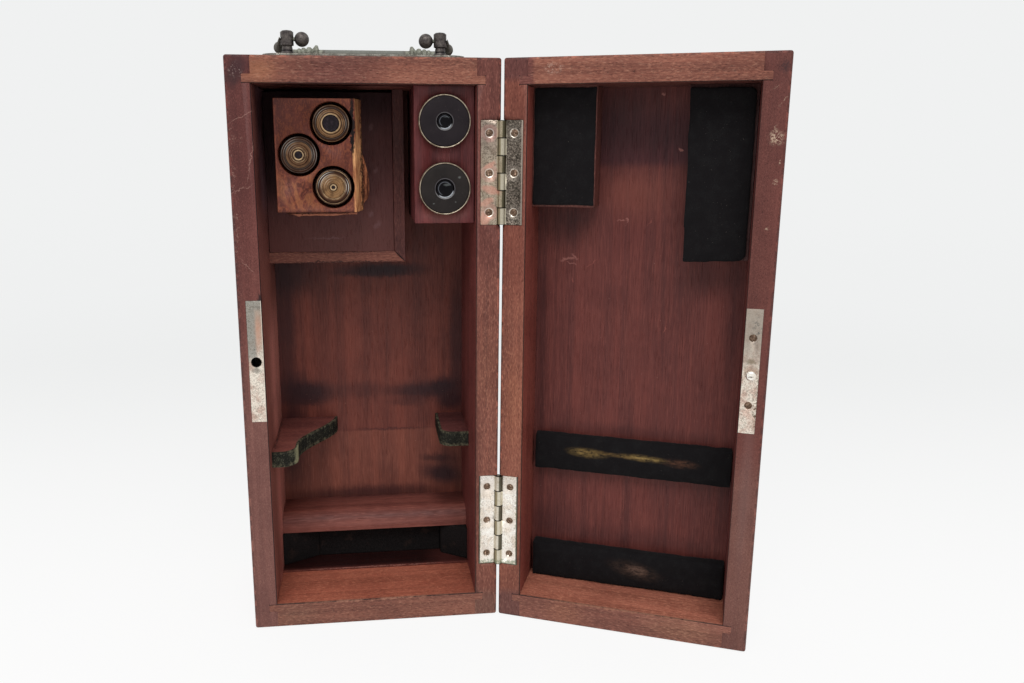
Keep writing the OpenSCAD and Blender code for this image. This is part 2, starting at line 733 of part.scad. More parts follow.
module keyhole_escutcheon() {
    in_body() color(brass) difference() {
        escutcheon_form(-half_w, escutcheon_t);
        translate([-half_w - cut, key_y, key_z]) keyhole(escutcheon_t + 2 * cut);
    }
}

/* Drop handle: a plate, two posts and a bail that lies back on the top board. */
plate_z = case_h + handle_plate_t;
pivot_z = plate_z + pivot_h;
post_x = post_span / 2;
module handle_plate() {
    l = post_x + plate_end - handle_plate_w / 2;
    in_body() color(dark_nickel) translate([0, handle_y, case_h]) difference() {
        union() {
            translate([-l, -handle_plate_w / 2, 0]) cube([2 * l, handle_plate_w, handle_plate_t]);
            for (s = [-1, 1]) translate([s * l, 0, 0]) cylinder(r = handle_plate_w / 2, h = handle_plate_t);
        }
        for (s = [-1, 1]) translate([s * post_x, 0, -cut]) cylinder(r = post_shank_r + slack, h = handle_plate_t + 2 * cut);
    }
}
post_foot_r = 4.4;
post_stem_r = 3.5;
head_low = pivot_h - 3.8;
head_high = pivot_h + 4.3;
module post() {
    difference() {
        rotate_extrude() polygon([[0, -handle_plate_t - top_t + 0.5], [post_shank_r, -handle_plate_t - top_t + 0.5],
            [post_shank_r, 0], [post_foot_r, 0], [post_foot_r, 1], [post_stem_r, 2.4],
            [post_stem_r - 0.2, head_low - 1.4], [post_stem_r - 0.5, head_low - 0.6], [post_head_r, head_low],
            [post_head_r, head_high], [post_head_r - 1.2, head_high + 0.9], [0, head_high + 1.4]]);
        translate([-post_head_r - cut, 0, pivot_h]) rotate([0, 90, 0])
            cylinder(r = bail_pin_r + bail_fit, h = 2 * (post_head_r + cut));
    }
}
module handle_posts() {
    in_body() color(bronze) for (s = [-1, 1]) translate([s * post_x, handle_y, plate_z]) post();
}
module handle_nuts() {
    in_body() color(brass) for (s = [-1, 1]) translate([s * post_x, handle_y, ceil_z + nut_sink - nut_t])
        difference() {
            cylinder(r = nut_r, h = nut_t, $fn = 6);
            translate([0, 0, -cut]) cylinder(r = post_shank_r + slack, h = nut_t + 2 * cut);
        }
}
/* The bail is drawn in a plane from its axis, then leans down until its knops meet the wood. */
rest_gap = 0.3;
bail_drop = asin((pivot_h + handle_plate_t - knop_r - rest_gap) / bail_reach);
arm_r = 2.1;
arm_x = post_x + post_head_r + arm_r + 0.5;
elbow_r = 3.9;
elbow_y = 13;
corner_r = 10;
finial_x = post_x - post_head_r - 0.5 - finial_r;
module in_bail() {
    in_body() translate([0, handle_y, pivot_z]) rotate([-bail_drop, 0, 0]) children();
}
module rod_x(x0, x1, r) {
    translate([x0, 0, 0]) rotate([0, 90, 0]) cylinder(r = r, h = x1 - x0);
}
/* Turned outlines are lists of radius and distance along the axis. */
function bead(at, half, r, low) = [for (i = [-4 : 4])
    [low + (r - low) * sqrt(1 - i * i / 16), at + half * i / 4]];
function flip(l) = [for (i = [len(l) - 1 : -1 : 0]) [l[i][0], -l[i][1]]];
grip_half = concat([[grip_r, knop_x - 1.7], [knop_r - 0.7, knop_x - 1.2], [knop_r, knop_x - 0.6],
    [knop_r, knop_x + 0.6], [knop_r - 0.7, knop_x + 1.2], [3.2, knop_x + 2.6]],
    bead(knop_x + 4.9, 1.9, 4.3, 3), bead(knop_x + 8.6, 1.6, 3.9, 2.9), bead(knop_x + 11.6, 1.2, 3.3, 2.7));
grip_end = arm_x - corner_r;
module bail_grip() {
    translate([0, bail_reach, 0]) rotate([0, 90, 0]) rotate_extrude()
        polygon(concat([[0, -grip_end], [grip_r, -grip_end]], flip(grip_half), grip_half,
            [[grip_r, grip_end], [0, grip_end]]));
}
module bail_arm() {
    translate([arm_x - corner_r, bail_reach - corner_r, 0])
        rotate_extrude(angle = 90) translate([corner_r, 0]) circle(r = grip_r, $fn = 32);
    translate([arm_x, 0, 0]) rotate([-90, 0, 0]) rotate_extrude()
        polygon(concat([[0, -arm_r - 0.4], [arm_r - 0.5, -arm_r - 0.4], [arm_r, -arm_r + 0.1]],
            bead(elbow_y, 3.2, elbow_r, arm_r), [[grip_r, bail_reach - corner_r], [0, bail_reach - corner_r]]));
    rod_x(finial_x + cut, arm_x, bail_pin_r);
}
module handle_bail() {
    color("#6d6f66") in_bail() {
        bail_grip();
        bail_arm();
        mirror([1, 0, 0]) bail_arm();
    }
}
module handle_finials() {
    color(bronze) in_bail() for (s = [0, 1]) mirror([s, 0, 0]) translate([finial_x, 0, 0]) rotate([0, 90, 0])
        rotate_extrude() difference() {
            intersection() {
                circle(r = finial_r);
                translate([0, -finial_r]) square(2 * finial_r);
            }
            translate([-cut, cut]) square([cut + bail_pin_r + slack / 5, finial_r]);
        }
}

/* Hinge leaves, pins and screws. */
module upper_hinge_case_leaf() { in_body() color(nickel) leaf(1, 1, upper_hinge_z, hinge_pin_r + slack / 5); }
module lower_hinge_case_leaf() { in_body() color(nickel) leaf(1, 1, lower_hinge_z, hinge_pin_r + slack / 5); }
module upper_hinge_door_leaf() { in_door() color(dark_nickel) leaf(-1, 0, upper_hinge_z, hinge_pin_r + pin_fit); }
module lower_hinge_door_leaf() { in_door() color(nickel) leaf(-1, 0, lower_hinge_z, hinge_pin_r + pin_fit); }
module hinge_pins() {
    in_body() color(steel) for (z = hinge_heights)
        translate([axis_x, 0, z - hinge_len / 2]) cylinder(r = hinge_pin_r, h = hinge_len);
}
module hinge_screws(side) {
    color(bronze) for (h = [0, 1], i = [0 : 2])
        screw(side * (half_w - hinge_screw_x), screw_heights(hinge_heights[h])[i], screw_turn(i + 3 * h));
}
module case_hinge_screws() { in_body() hinge_screws(1); }
module door_hinge_screws() { in_door() hinge_screws(-1); }

/* Door half. */
catch_x = half_w - lock_line;
catch_z = lock_z + 1;
catch_zs = [catch_z + catch_screw_dz, catch_z - catch_screw_dz];
module door_hinge_side() {
    in_door() difference() {
        side_board(-1, door_depth);
        color(mahogany) hinge_gains(-1);
    }
}
stud_tail = 9;
module door_lock_side() {
    in_door() color(mahogany) difference() {
        side_board(1, door_depth);
        span([catch_x - catch_w / 2, catch_x + catch_w / 2], [rim_y - cut, rim_y + plate_t],
            [catch_z - catch_l / 2, catch_z + catch_l / 2]);
        for (z = catch_zs) screw_hole(catch_x, z);
        bore_y(catch_x, rim_y, lock_z, stud_neck_r + slack, stud_tail + slack);
    }
}
module door_top() { in_door() top_board(door_depth); }
module door_bottom() { in_door() bottom_board(door_depth); }
module door_panel() { in_door() panel(door_depth); }
module catch_plate() {
    in_door() color(nickel) difference() {
        span([catch_x - catch_w / 2, catch_x + catch_w / 2], [rim_y, rim_y + plate_t],
            [catch_z - catch_l / 2, catch_z + catch_l / 2]);
        for (z = catch_zs) countersink(catch_x, z, plate_t);
        bore_y(catch_x, rim_y - cut, lock_z, stud_neck_r + slack, plate_t + 2 * cut);
    }
}
module catch_stud() {
    in_door() color(nickel) difference() {
        union() {
            bore_y(catch_x, -stud_reach + stud_head_t - cut, lock_z, stud_neck_r, stud_reach - stud_head_t + cut + rim_y + stud_tail);
            bore_y(catch_x, -stud_reach, lock_z, stud_head_r - 0.8, 0.8, stud_head_r);
            bore_y(catch_x, -stud_reach + 0.8, lock_z, stud_head_r, stud_head_t - 0.8);
        }
        translate([catch_x, -stud_reach, lock_z]) rotate([0, 35, 0]) cube([4 * stud_head_r, 1.4, 0.7], center = true);
    }
}
module catch_screws() {
    in_door() color(bronze) for (i = [0, 1]) screw(catch_x, catch_zs[i], screw_turn(i + 1));
}

/* A velvet pad with a crowned face: x and z are its ends, y its face and its back. */
crown_strips = 14;
function crown_line(w) = [for (i = [0 : crown_strips])
    [w * i / crown_strips, crown * pow(2 * i / crown_strips - 1, 2)]];
module crowned(x, y, z) {
    w = x[1] - x[0];
    h = z[1] - z[0];
    d = y[1] - y[0];
    translate([x[0], y[0], z[0]]) intersection() {
        linear_extrude(h) polygon(concat(crown_line(w), [[w, d], [0, d]]));
        rotate([90, 0, 90]) linear_extrude(w)
            polygon(concat([for (p = crown_line(h)) [p[1], p[0]]], [[d, h], [d, 0]]));
    }
}
pad_edge = 0.5;
module eyepiece_pad_block() {
    in_door() color(mahogany) span([-wall_x + 0.2, -wall_x + 0.2 + pad_l_w], [pad_l_y, door_back_y],
        [ceil_z - pad_l_h, ceil_z]);
}
module eyepiece_pad_velvet() {
    in_door() color(velvet_black) crowned([-wall_x + 0.2 + pad_edge, -wall_x + 0.2 + pad_l_w - pad_edge],
        [pad_l_y - velvet_t, pad_l_y], [ceil_z - pad_l_h + 1, ceil_z - 0.8]);
}
module objective_pad_board() {
    in_door() color("#4a2018") span([wall_x - 0.2 - pad_r_w, wall_x - 0.2], [pad_r_y, door_back_y],
        [ceil_z - pad_r_h, ceil_z]);
}
module objective_pad_velvet() {
    in_door() color(velvet_black) crowned([wall_x - pad_r_w + 0.6, wall_x - 2.6], [pad_r_y - pad_r_t, pad_r_y],
        [ceil_z - pad_r_h + 1, ceil_z - 5]);
}
module middle_pad() {
    in_door() color(velvet_black) crowned([-wall_x + pad_gap, wall_x - 0.3], [mid_pad_y, door_back_y],
        [mid_pad_z, mid_pad_z + long_pad_h]);
}
module bottom_pad() {
    in_door() color(velvet_black) crowned([-wall_x + pad_gap, wall_x - 0.3], [low_pad_y, door_back_y],
        [floor_z, floor_z + long_pad_h]);
}

case_left_side();
case_right_side();
case_top();
case_bottom();
case_back_panel();
accessory_shelf();
accessory_upright();
accessory_panel();
objective_block();
objective_low_power();
objective_mid_power();
objective_high_power();
objective_lenses();
eyepiece_block();
eyepiece_upper_barrel();
eyepiece_upper_cap();
eyepiece_lower_barrel();
eyepiece_lower_cap();
eyepiece_lenses();
left_bracket();
left_bracket_felt();
right_bracket();
right_bracket_felt();
foot_clamp_bar();
foot_board();
foot_guide_left();
foot_guide_right();
foot_stop();
lock_faceplate();
lock_case();
lock_bolt();
lock_spring();
keyhole_escutcheon();
handle_plate();
handle_posts();
handle_nuts();
handle_bail();
handle_finials();
upper_hinge_case_leaf();
lower_hinge_case_leaf();
hinge_pins();
case_hinge_screws();
upper_hinge_door_leaf();
lower_hinge_door_leaf();
door_hinge_screws();
door_hinge_side();
door_lock_side();
door_top();
door_bottom();
door_panel();
eyepiece_pad_block();
eyepiece_pad_velvet();
objective_pad_board();
objective_pad_velvet();
middle_pad();
bottom_pad();
catch_plate();
catch_stud();
catch_screws();
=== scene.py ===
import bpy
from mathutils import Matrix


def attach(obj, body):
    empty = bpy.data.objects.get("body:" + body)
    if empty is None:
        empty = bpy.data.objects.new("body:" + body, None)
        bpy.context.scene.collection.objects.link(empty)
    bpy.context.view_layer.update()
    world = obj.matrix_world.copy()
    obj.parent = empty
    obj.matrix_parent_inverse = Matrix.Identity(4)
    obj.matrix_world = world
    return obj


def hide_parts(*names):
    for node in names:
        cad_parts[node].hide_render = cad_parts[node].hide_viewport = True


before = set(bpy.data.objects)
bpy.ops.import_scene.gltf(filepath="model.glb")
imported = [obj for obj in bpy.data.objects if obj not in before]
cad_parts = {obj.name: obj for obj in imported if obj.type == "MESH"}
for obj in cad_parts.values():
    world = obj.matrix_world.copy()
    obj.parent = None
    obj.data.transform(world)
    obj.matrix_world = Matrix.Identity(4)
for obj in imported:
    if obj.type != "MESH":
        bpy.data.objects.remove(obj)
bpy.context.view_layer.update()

import math

import bmesh
import bpy
from mathutils import Matrix, Vector, noise


# The camera
# The case is seen from a little above its middle, square to the back half, from about two thirds of a metre.
# The lens is shifted, as where a wider picture has been cropped.
scene = bpy.context.scene
lens = bpy.data.cameras.new("picture_camera")
lens.sensor_fit = "HORIZONTAL"
lens.sensor_width = 36
lens.lens = 29.81
lens.shift_x = 0.0444
lens.shift_y = -0.0103
lens.clip_end = 60
camera = bpy.data.objects.new("picture_camera", lens)
stand = Matrix.Translation((-0.00117, -0.6123, 0.34129))
for axis, degrees in (("Z", -6.692), ("X", -12.489), ("Y", -0.082), ("X", 90)):
    stand = stand @ Matrix.Rotation(math.radians(degrees), 4, axis)
camera.matrix_world = stand
scene.collection.objects.link(camera)
scene.camera = camera
scene.view_settings.view_transform = "Standard"


# The white table and the room
# White paper under the case runs back into a pale grey room. Seen by the camera, by metal or through glass, both
# show their own pale tone; all other light meets plain white paper, which keeps the soft shadow of the case.
def paint(red, green, blue):
    """A colour on a scale from 0 to 255, as Blender's own linear one."""
    shares = [channel / 255 for channel in (red, green, blue)]
    return (*[s / 12.92 if s <= 0.04 else ((s + 0.055) / 1.055) ** 2.4 for s in shares], 1)


class Signal:
    """A value that runs between the nodes of one finish, so that shader maths reads as arithmetic."""

    def __init__(self, finish, socket):
        self.finish = finish
        self.socket = socket

    def tap(self, output):
        return Signal(self.finish, self.socket.node.outputs[output])

    def sum(self, operation, *terms):
        return self.finish.add("Math", {"operation": operation}, dict(enumerate(terms)))

    def __add__(self, other):
        return self.sum("ADD", self, other)

    def __radd__(self, other):
        return self.sum("ADD", other, self)

    def __sub__(self, other):
        return self.sum("SUBTRACT", self, other)

    def __rsub__(self, other):
        return self.sum("SUBTRACT", other, self)

    def __mul__(self, other):
        return self.sum("MULTIPLY", self, other)

    def __rmul__(self, other):
        return self.sum("MULTIPLY", other, self)

    def __truediv__(self, other):
        return self.sum("DIVIDE", self, other)

    def __or__(self, other):
        return self.sum("MAXIMUM", self, other)

    def __abs__(self):
        return self.sum("ABSOLUTE", self)

    def sine(self):
        return self.sum("SINE", self)

    def fraction(self):
        return self.sum("FRACT", self)

    def fade(self, low, high):
        """A smooth step: 0 where the value is at low, 1 where it is at high."""
        settings = {"interpolation_type": "SMOOTHSTEP"}
        return self.finish.add("MapRange", settings, {0: self, 1: low, 2: high, 3: 0, 4: 1})


class Finish:
    """The nodes of one finish, laid on a place: the case, the door or the table, measured in millimetres."""

    def __init__(self, block, place=None):
        self.block = block
        block.use_nodes = True
        self.tree = block.node_tree
        self.tree.nodes.clear()
        if place:
            spot = self.add("TexCoord", out="Object")
            sockets = {0: spot, 1: place["shift"], 2: (0, 0, place["turn"]), 3: (1000, 1000, 1000)}
            self.at = self.add("Mapping", {"vector_type": "POINT"}, sockets)
            self.x = self.add("SeparateXYZ", {}, {0: self.at}, "X")
            self.y = self.x.tap("Y")
            self.z = self.x.tap("Z")

    def add(self, kind, settings=None, sockets=None, out=0):
        node = self.tree.nodes.new("ShaderNode" + kind)
        for name, value in (settings or {}).items():
            if name == "stops":
                while len(node.color_ramp.elements) < len(value):
                    node.color_ramp.elements.new(1)
                for element, (position, shade) in zip(node.color_ramp.elements, value):
                    element.position = position
                    element.color = shade
            else:
                setattr(node, name, value)
        for key, value in (sockets or {}).items():
            if isinstance(value, Signal):
                self.tree.links.new(value.socket, node.inputs[key])
            else:
                node.inputs[key].default_value = value
        return Signal(self, node.outputs[out]) if node.outputs else None

    def vector(self, operation, first, second=None, out=0):
        sockets = {0: first} if second is None else {0: first, 1: second}
        return self.add("VectorMath", {"operation": operation}, sockets, out)

    def blend(self, share, first, second, kind="MIX"):
        """The first colour, turned by a share into the second."""
        settings = {"data_type": "RGBA", "blend_type": kind, "clamp_factor": True}
        return self.add("Mix", settings, {0: share, 6: first, 7: second}, 2)

    def times(self, colour, red, green, blue):
        """A colour multiplied by a shade."""
        return self.blend(1.0, colour, (red, green, blue, 1), "MULTIPLY")

    def seen(self):
        """1 where the camera looks, or metal or glass shows what is behind it."""
        ray = self.add("LightPath", out="Is Camera Ray")
        return (ray | ray.tap("Is Glossy Ray")) | ray.tap("Is Transmission Ray")

    def shaders(self, share, first, second):
        return self.add("MixShader", {}, {0: share, 1: first, 2: second})


haze = paint(240, 241, 241)
table_place = {"shift": (0, 0, 0), "turn": 0}
paper = Finish(bpy.data.materials.new("white_paper"), table_place)
far = paper.vector("LENGTH", paper.at, out="Value")
depth = (paper.y + paper.x * 0.12).fade(-260, 780)
tone = paper.blend(depth, paint(255, 255, 255), paint(239, 240, 240))
tone = paper.blend(paper.y.fade(900, 6000), tone, haze)
tone = paper.blend(far.fade(1300, 4500), tone, haze)
glow = paper.add("Emission", {}, {0: tone, 1: 1.0})
matt = paper.add("BsdfDiffuse", {}, {0: paint(236, 236, 235)})
paper.add("OutputMaterial", {}, {0: paper.shaders(paper.seen() * (0.9 + 0.1 * far.fade(500, 1600)), matt, glow)})
sheet = bmesh.new()
bmesh.ops.create_circle(sheet, cap_ends=True, segments=96, radius=14)
floor_mesh = bpy.data.meshes.new("white_table")
sheet.to_mesh(floor_mesh)
sheet.free()
floor_mesh.materials.append(paper.block)
floor = bpy.data.objects.new("white_table", floor_mesh)
floor.data.transform(Matrix.Translation((0, 0, -0.0004)))
scene.collection.objects.link(floor)

room = Finish(bpy.data.worlds.new("pale_room"))
wall = room.add("Background", {}, {0: haze, 1: 1.0})
fill = room.add("Background", {}, {0: (1.0, 0.985, 0.97, 1), 1: 0.6})
room.add("OutputWorld", {}, {0: room.shaders(room.seen(), fill, wall)})
scene.world = room.block


# The studio lamp
# One wide soft box hangs high in front, far enough back to light the case evenly from top to bottom.
lamp = bpy.data.lights.new("high_soft_box", "AREA")
lamp.shape = "RECTANGLE"
lamp.size = 2.2
lamp.size_y = 1.4
lamp.energy = 44
holder = bpy.data.objects.new("high_soft_box", lamp)
lamp_place = Vector((-0.2, -1.8, 2.6))
lamp_turn = (Vector((0.05, 0.0, 0.2)) - lamp_place).to_track_quat("-Z", "Y")
holder.matrix_world = Matrix.Translation(lamp_place) @ lamp_turn.to_matrix().to_4x4()
scene.collection.objects.link(holder)


# The four boards of the case
# Two upright sides of Honduras mahogany reach from the table to the top. The top and bottom boards are tongued into
# them and glued. Their front edges are sawn and only waxed, and their faces are varnished and worn.
case_front = 49.15
case_half = {"body": "case", "shift": (0, case_front, 0), "turn": 0}
case_half["matrix"] = Matrix.Translation((0, -case_front / 1000, 0)) @ Matrix.Scale(0.001, 4)
pin_side = 88.15
door_turn = math.radians(23)
door_start = Matrix.Translation((-pin_side, 0, 0)) @ Matrix.Rotation(door_turn, 4, "Z")
door_start = door_start @ Matrix.Translation((-pin_side, case_front, 0))
door_half = {"body": "door", "shift": tuple(door_start.to_translation()), "turn": door_turn}
door_half["matrix"] = Matrix.Scale(0.001, 4) @ door_start.inverted()


class Coat(Finish):
    """A finish with a colour, a roughness and a height that marks and wear are laid on one after another."""

    def __init__(self, name, place, ragged=1.5):
        super().__init__(bpy.data.materials.new(name), place)
        self.colour = paint(128, 128, 128)
        self.rough = 0.5
        self.height = 0.0
        waver = self.add("TexNoise", {}, {"Vector": self.at, "Scale": 0.3, "Detail": 4, "Roughness": 0.7}, "Color")
        waver = self.vector("SUBTRACT", waver, (0.5, 0.5, 0.5))
        waver = self.add("VectorMath", {"operation": "SCALE"}, {0: waver, "Scale": ragged * 4})
        self.loose = self.vector("ADD", self.at, waver)

    def cloud(self, size, detail=3, start=0, harsh=0.5, stretch=(1, 1, 1), bend=0):
        """Noise from 0 to 1 with features of a size in millimetres, drawn out where stretch is below 1."""
        where = self.vector("MULTIPLY", self.at, stretch)
        where = self.vector("ADD", where, (start, start * 0.7, start * 1.3))
        sockets = {"Vector": where, "Scale": 1 / size, "Detail": detail, "Roughness": harsh, "Distortion": bend}
        return self.add("TexNoise", {}, sockets)

    def patch(self, centre, reach, soft=0.9, lean=0, crisp=False):
        """A mark with a soft edge: 1 at its centre, 0 beyond its reach on each axis; lean turns it in degrees."""
        sockets = {0: self.at if crisp else self.loose, 1: centre, 2: (0, math.radians(lean), 0), 3: reach}
        inside = self.add("Mapping", {"vector_type": "TEXTURE"}, sockets)
        return self.vector("LENGTH", inside, out="Value").fade(1, 1 - soft)

    def radius(self, x, z):
        """The distance from the line that points out of the case at x and z."""
        flat = self.add("Mapping", {"vector_type": "POINT"}, {0: self.at, 1: (-x, 0, -z), 3: (1, 0, 1)})
        return self.vector("LENGTH", flat, out="Value")

    def lay(self, share, colour, rough=None, height=None):
        """Lays a colour over what is there, and turns roughness and height with it."""
        self.colour = self.blend(share, self.colour, colour)
        if rough is not None:
            self.rough = self.rough + (rough - self.rough) * share
        if height is not None:
            self.height = self.height + share * height

    def tint(self, share, shade):
        """Multiplies the colour by a shade of its own."""
        self.colour = self.blend(share, self.colour, (*shade, 1), "MULTIPLY")

    def mark(self, share, tone, centre, reach, soft=0.9, lean=0, rough=None):
        """Lays a tone, on the scale from 0 to 255, on one patch."""
        self.lay(self.patch(centre, reach, soft, lean) * share, paint(*tone), rough)

    def shade(self, share, shade, centre, reach, soft=0.9):
        """Multiplies one patch by a shade."""
        self.tint(self.patch(centre, reach, soft) * share, shade)

    def close(self, reach=0.2, metallic=0.0, **fixed):
        """Joins the colour, roughness and height to one surface; reach is the height of 1 in millimetres."""
        sockets = {"Base Color": self.colour, "Roughness": self.rough, "Metallic": metallic}
        if not metallic:
            sockets["Specular IOR Level"] = 0.25
        if isinstance(self.height, Signal):
            bump = self.add("Bump", {}, {"Height": self.height, "Distance": reach / 1000, "Strength": 1.0})
            sockets["Normal"] = bump
        sockets.update({name.replace("_", " "): value for name, value in fixed.items()})
        self.add("OutputMaterial", {}, {0: self.add("BsdfPrincipled", {}, sockets)})
        return self.block


def wood(name, place, grain, tone, deep, start=0.0, pore=0.4, figure=13, edge=0.45, gloss=0.5, face=None, front=0.15,
         fleck=(0.24, 0.55), vein=0.4):
    """Mahogany: ribbons of two tones, long fine streaks, short dark pores, rubbed arrises and dirt in the joints.

    Where a face tone is given, it is that of the varnished faces behind the sawn front edge.
    """
    coat = Coat(name, place)
    tone = paint(*tone)
    deep = paint(*deep)

    def drawn(share):
        return tuple(share if axis == grain else 1 for axis in "xyz")

    if face:
        face = paint(*face)
        inward = coat.y.fade(front + 0.7, front + 2.2)
        tone = coat.blend(inward, tone, face)
        deep = coat.blend(inward, deep, tuple(0.72 * channel for channel in face[:3]) + (1,))
    ribbons = coat.cloud(figure, 4, start, 0.55, drawn(0.035), 0.5).fade(0.3, 0.7)
    streaks = coat.cloud(1.3, 4, start + 40, 0.7, drawn(0.014), 0.3)
    fibres = coat.cloud(0.7, 2, start + 60, 0.65, drawn(fleck[0]))
    dashes = coat.cloud(0.55, 1, start + 80, 0.5, drawn(fleck[0])).fade(0.6, 0.72)
    mottle = coat.cloud(34, 4, start + 120, 0.6)
    coat.colour = coat.blend(ribbons, deep, tone)
    coat.tint(streaks.fade(0.56, 0.36) * vein, (0.66, 0.6, 0.58))
    coat.lay(streaks.fade(0.52, 0.7) * vein * 0.6, coat.times(tone, 1.45, 1.34, 1.22))
    coat.tint(fibres.fade(0.5, 0.32) * fleck[1] * 0.8, (0.64, 0.48, 0.47))
    coat.lay(fibres.fade(0.52, 0.68) * fleck[1], coat.times(tone, 1.5, 1.76, 1.7))
    coat.tint(dashes * pore, (0.2, 0.17, 0.17))
    coat.tint(mottle.fade(0.58, 0.36) * 0.5, (0.68, 0.62, 0.64))
    coat.rough = gloss + 0.25 * (mottle - 0.5) + 0.12 * dashes
    coat.height = 0.3 * streaks + 0.35 * fibres - 0.5 * dashes
    worn = coat.add("Attribute", {"attribute_type": "GEOMETRY", "attribute_name": "arris"}, out="Color")
    worn = coat.add("SeparateColor", {}, {0: worn}, "Red")
    rub = coat.cloud(6, 5, start + 160, 0.7).fade(0.45, 0.62)
    coat.lay(worn * rub * edge, coat.times(tone, 1.8, 1.65, 1.55))
    coat.tint(worn * (1 - rub) * 0.45, (0.4, 0.36, 0.36))
    coat.lay(worn.tap("Green") * 0.9, paint(30, 17, 17))
    return coat


outer_faces = ((0, -87.5), (0, 87.5), (1, 0.15), (1, 98.15), (1, 51.15), (2, 0), (2, 395))
corner_inner = 65
corner_outer = 78
corner_low = 18.1
corner_high = 376.9


def at_corner(spot):
    """Whether a point lies where the top or bottom board is tongued into a side."""
    return corner_inner < abs(spot.x) < corner_outer and (spot.z < corner_low or spot.z > corner_high)


def merged(node):
    """A closed copy of a solid, for bmesh."""
    shape = bmesh.new()
    shape.from_mesh(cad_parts[node].data)
    bmesh.ops.remove_doubles(shape, verts=shape.verts[:], dist=2e-6)
    return shape


def finished(shape, name):
    """The mesh of a bmesh, with its faces outwards."""
    bmesh.ops.recalc_face_normals(shape, faces=shape.faces[:])
    mesh = bpy.data.meshes.new(name)
    shape.to_mesh(mesh)
    shape.free()
    return mesh


def dress(node, name, place, slot, material, ease=0.25, arris=1.6, shortest=9, smooth=30, carve=None, flat=True):
    """A closed copy of a solid with its long edges eased, more on the outer arrises than at the joints."""
    shape = merged(node)
    if flat:
        bmesh.ops.dissolve_limit(shape, angle_limit=math.radians(0.4), verts=shape.verts[:], edges=shape.edges[:])
    back = place["matrix"].inverted()
    layer = shape.loops.layers.float_color.new("arris")
    for face in shape.faces:
        for corner in face.loops:
            corner[layer] = (0, 0, 0, 1)
    groups = {"arris": [], "joint": [], "ease": []}
    for edge in shape.edges:
        if not edge.is_manifold or edge.calc_length() < shortest / 1000:
            continue
        if edge.calc_face_angle(0) < math.radians(40):
            continue
        ends = [back @ vertex.co for vertex in edge.verts]
        rims = sum(all(abs(end[axis] - level) < 0.05 for end in ends) for axis, level in outer_faces)
        joint = all(at_corner(end) for end in ends) and slot in ("mahogany", "rim_wood")
        groups["arris" if rims > 1 else "joint" if joint else "ease"].append(edge)
    for group, width, mark in (
        ("arris", arris, (1, 0, 0, 1)),
        ("joint", 0.6 if arris else 0, (0, 1, 0, 1)),
        ("ease", ease, (0.8, 0, 0, 1)),
    ):
        edges = [edge for edge in groups[group] if edge.is_valid]
        if edges and width:
            result = bmesh.ops.bevel(
                shape,
                geom=edges,
                offset=width / 1000,
                offset_type="OFFSET",
                affect="EDGES",
                segments=4 if width > 0.5 else 2,
                profile=0.5,
                material=-1,
                clamp_overlap=True,
            )
            for face in result["faces"]:
                for corner in face.loops:
                    corner[layer] = mark
    if carve:
        carve(shape, back)
    bmesh.ops.triangulate(shape, faces=[face for face in shape.faces if len(face.verts) > 4])
    return place_piece(name, finished(shape, name), place, material, [node], smooth)


def place_piece(name, mesh, place, material, stands_for, smooth=30):
    """Puts a mesh into the scene: smooth but for its sharp edges, riding on its half, in place of its nodes."""
    for face in mesh.polygons:
        face.use_smooth = True
    mesh.set_sharp_from_angle(angle=math.radians(smooth))
    mesh.materials.clear()
    mesh.materials.append(material)
    piece = bpy.data.objects.new(name, mesh)
    scene.collection.objects.link(piece)
    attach(piece, place["body"])
    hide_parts(*stands_for)
    return piece


left = wood("left_side_wood", case_half, "z", (134, 90, 82), (112, 73, 67), 3.0, face=(150, 92, 82),
            fleck=(0.6, 0.4), vein=0.2)
rim = left.y.fade(3, 1)
behind = left.y.fade(2, 6)
# Painted shade and painted light by height and depth: the inner wall darkens upward where the top board shades it and
# its front rim darkens towards the top, while painted light brightens the wall low down and far back near the top.
for share, tone in (
    (left.z.fade(230, 330) * 0.45 * behind, (0.5, 0.46, 0.5)),
    (left.z.fade(250, 330) * rim * 0.8, (0.68, 0.56, 0.6)),
    (left.z.fade(150, 240) * rim, (0.87, 0.67, 0.67)),
    (left.z.fade(240, 300) * behind * 0.6, (0.6, 0.6, 0.7)),
    (left.z.fade(240, 200) * left.y.fade(12, 64), (2.3, 2.6, 2.7)),
    (left.z.fade(285, 320) * left.y.fade(15, 45), (1.9, 3.0, 4.0)),
):
    left.tint(share, tone)
left.mark(0.65, (48, 29, 33), (-81, 0, 384), (8, 20, 14), 0.7, 20)
left.mark(0.5, (62, 34, 38), (-76, 0, 390), (9, 20, 9), 0.8, 20)
nicks = left.cloud(1.6, 5, 303, 0.8).fade(0.55, 0.62)
left.mark(nicks * 0.7, (158, 134, 128), (-80.5, 0, 386), (6, 20, 9), 0.8, -40)
left.mark(nicks * 0.5, (176, 140, 128), (-85.5, 0, 300), (3, 20, 100))
left.mark(nicks * 0.3, (170, 128, 114), (-74, 0, 150), (3, 20, 140))
left.mark(nicks * 0.8, (170, 140, 122), (-82, 0, 343), (5, 20, 5), 0.9, 10)
left.shade(rim * 0.7, (1.25, 1.4, 1.35), (-79, 3, 88), (12, 3, 14))
# Painted shade along the rounded outer edge of the side.
left.mark(0.5, (74, 50, 50), (-86.8, 0, 230), (1.6, 20, 170))
for spot, reach, lean in (
    ((-77, 0, 358), (0.35, 20, 14), 62),
    ((-74, 0, 330), (0.3, 20, 20), 12),
    ((-82, 0, 312), (0.3, 20, 12), 70),
    ((-79, 0, 262), (0.3, 20, 9), -40),
):
    left.mark(0.45, (176, 136, 124), spot, reach, 0.6, lean)
left.mark(0.9, (40, 24, 24), (-72.6, 0, 240), (1.4, 9, 5), 0.5)
dress("case_left_side", "left_side_board", case_half, "mahogany", left.close(), flat=False)

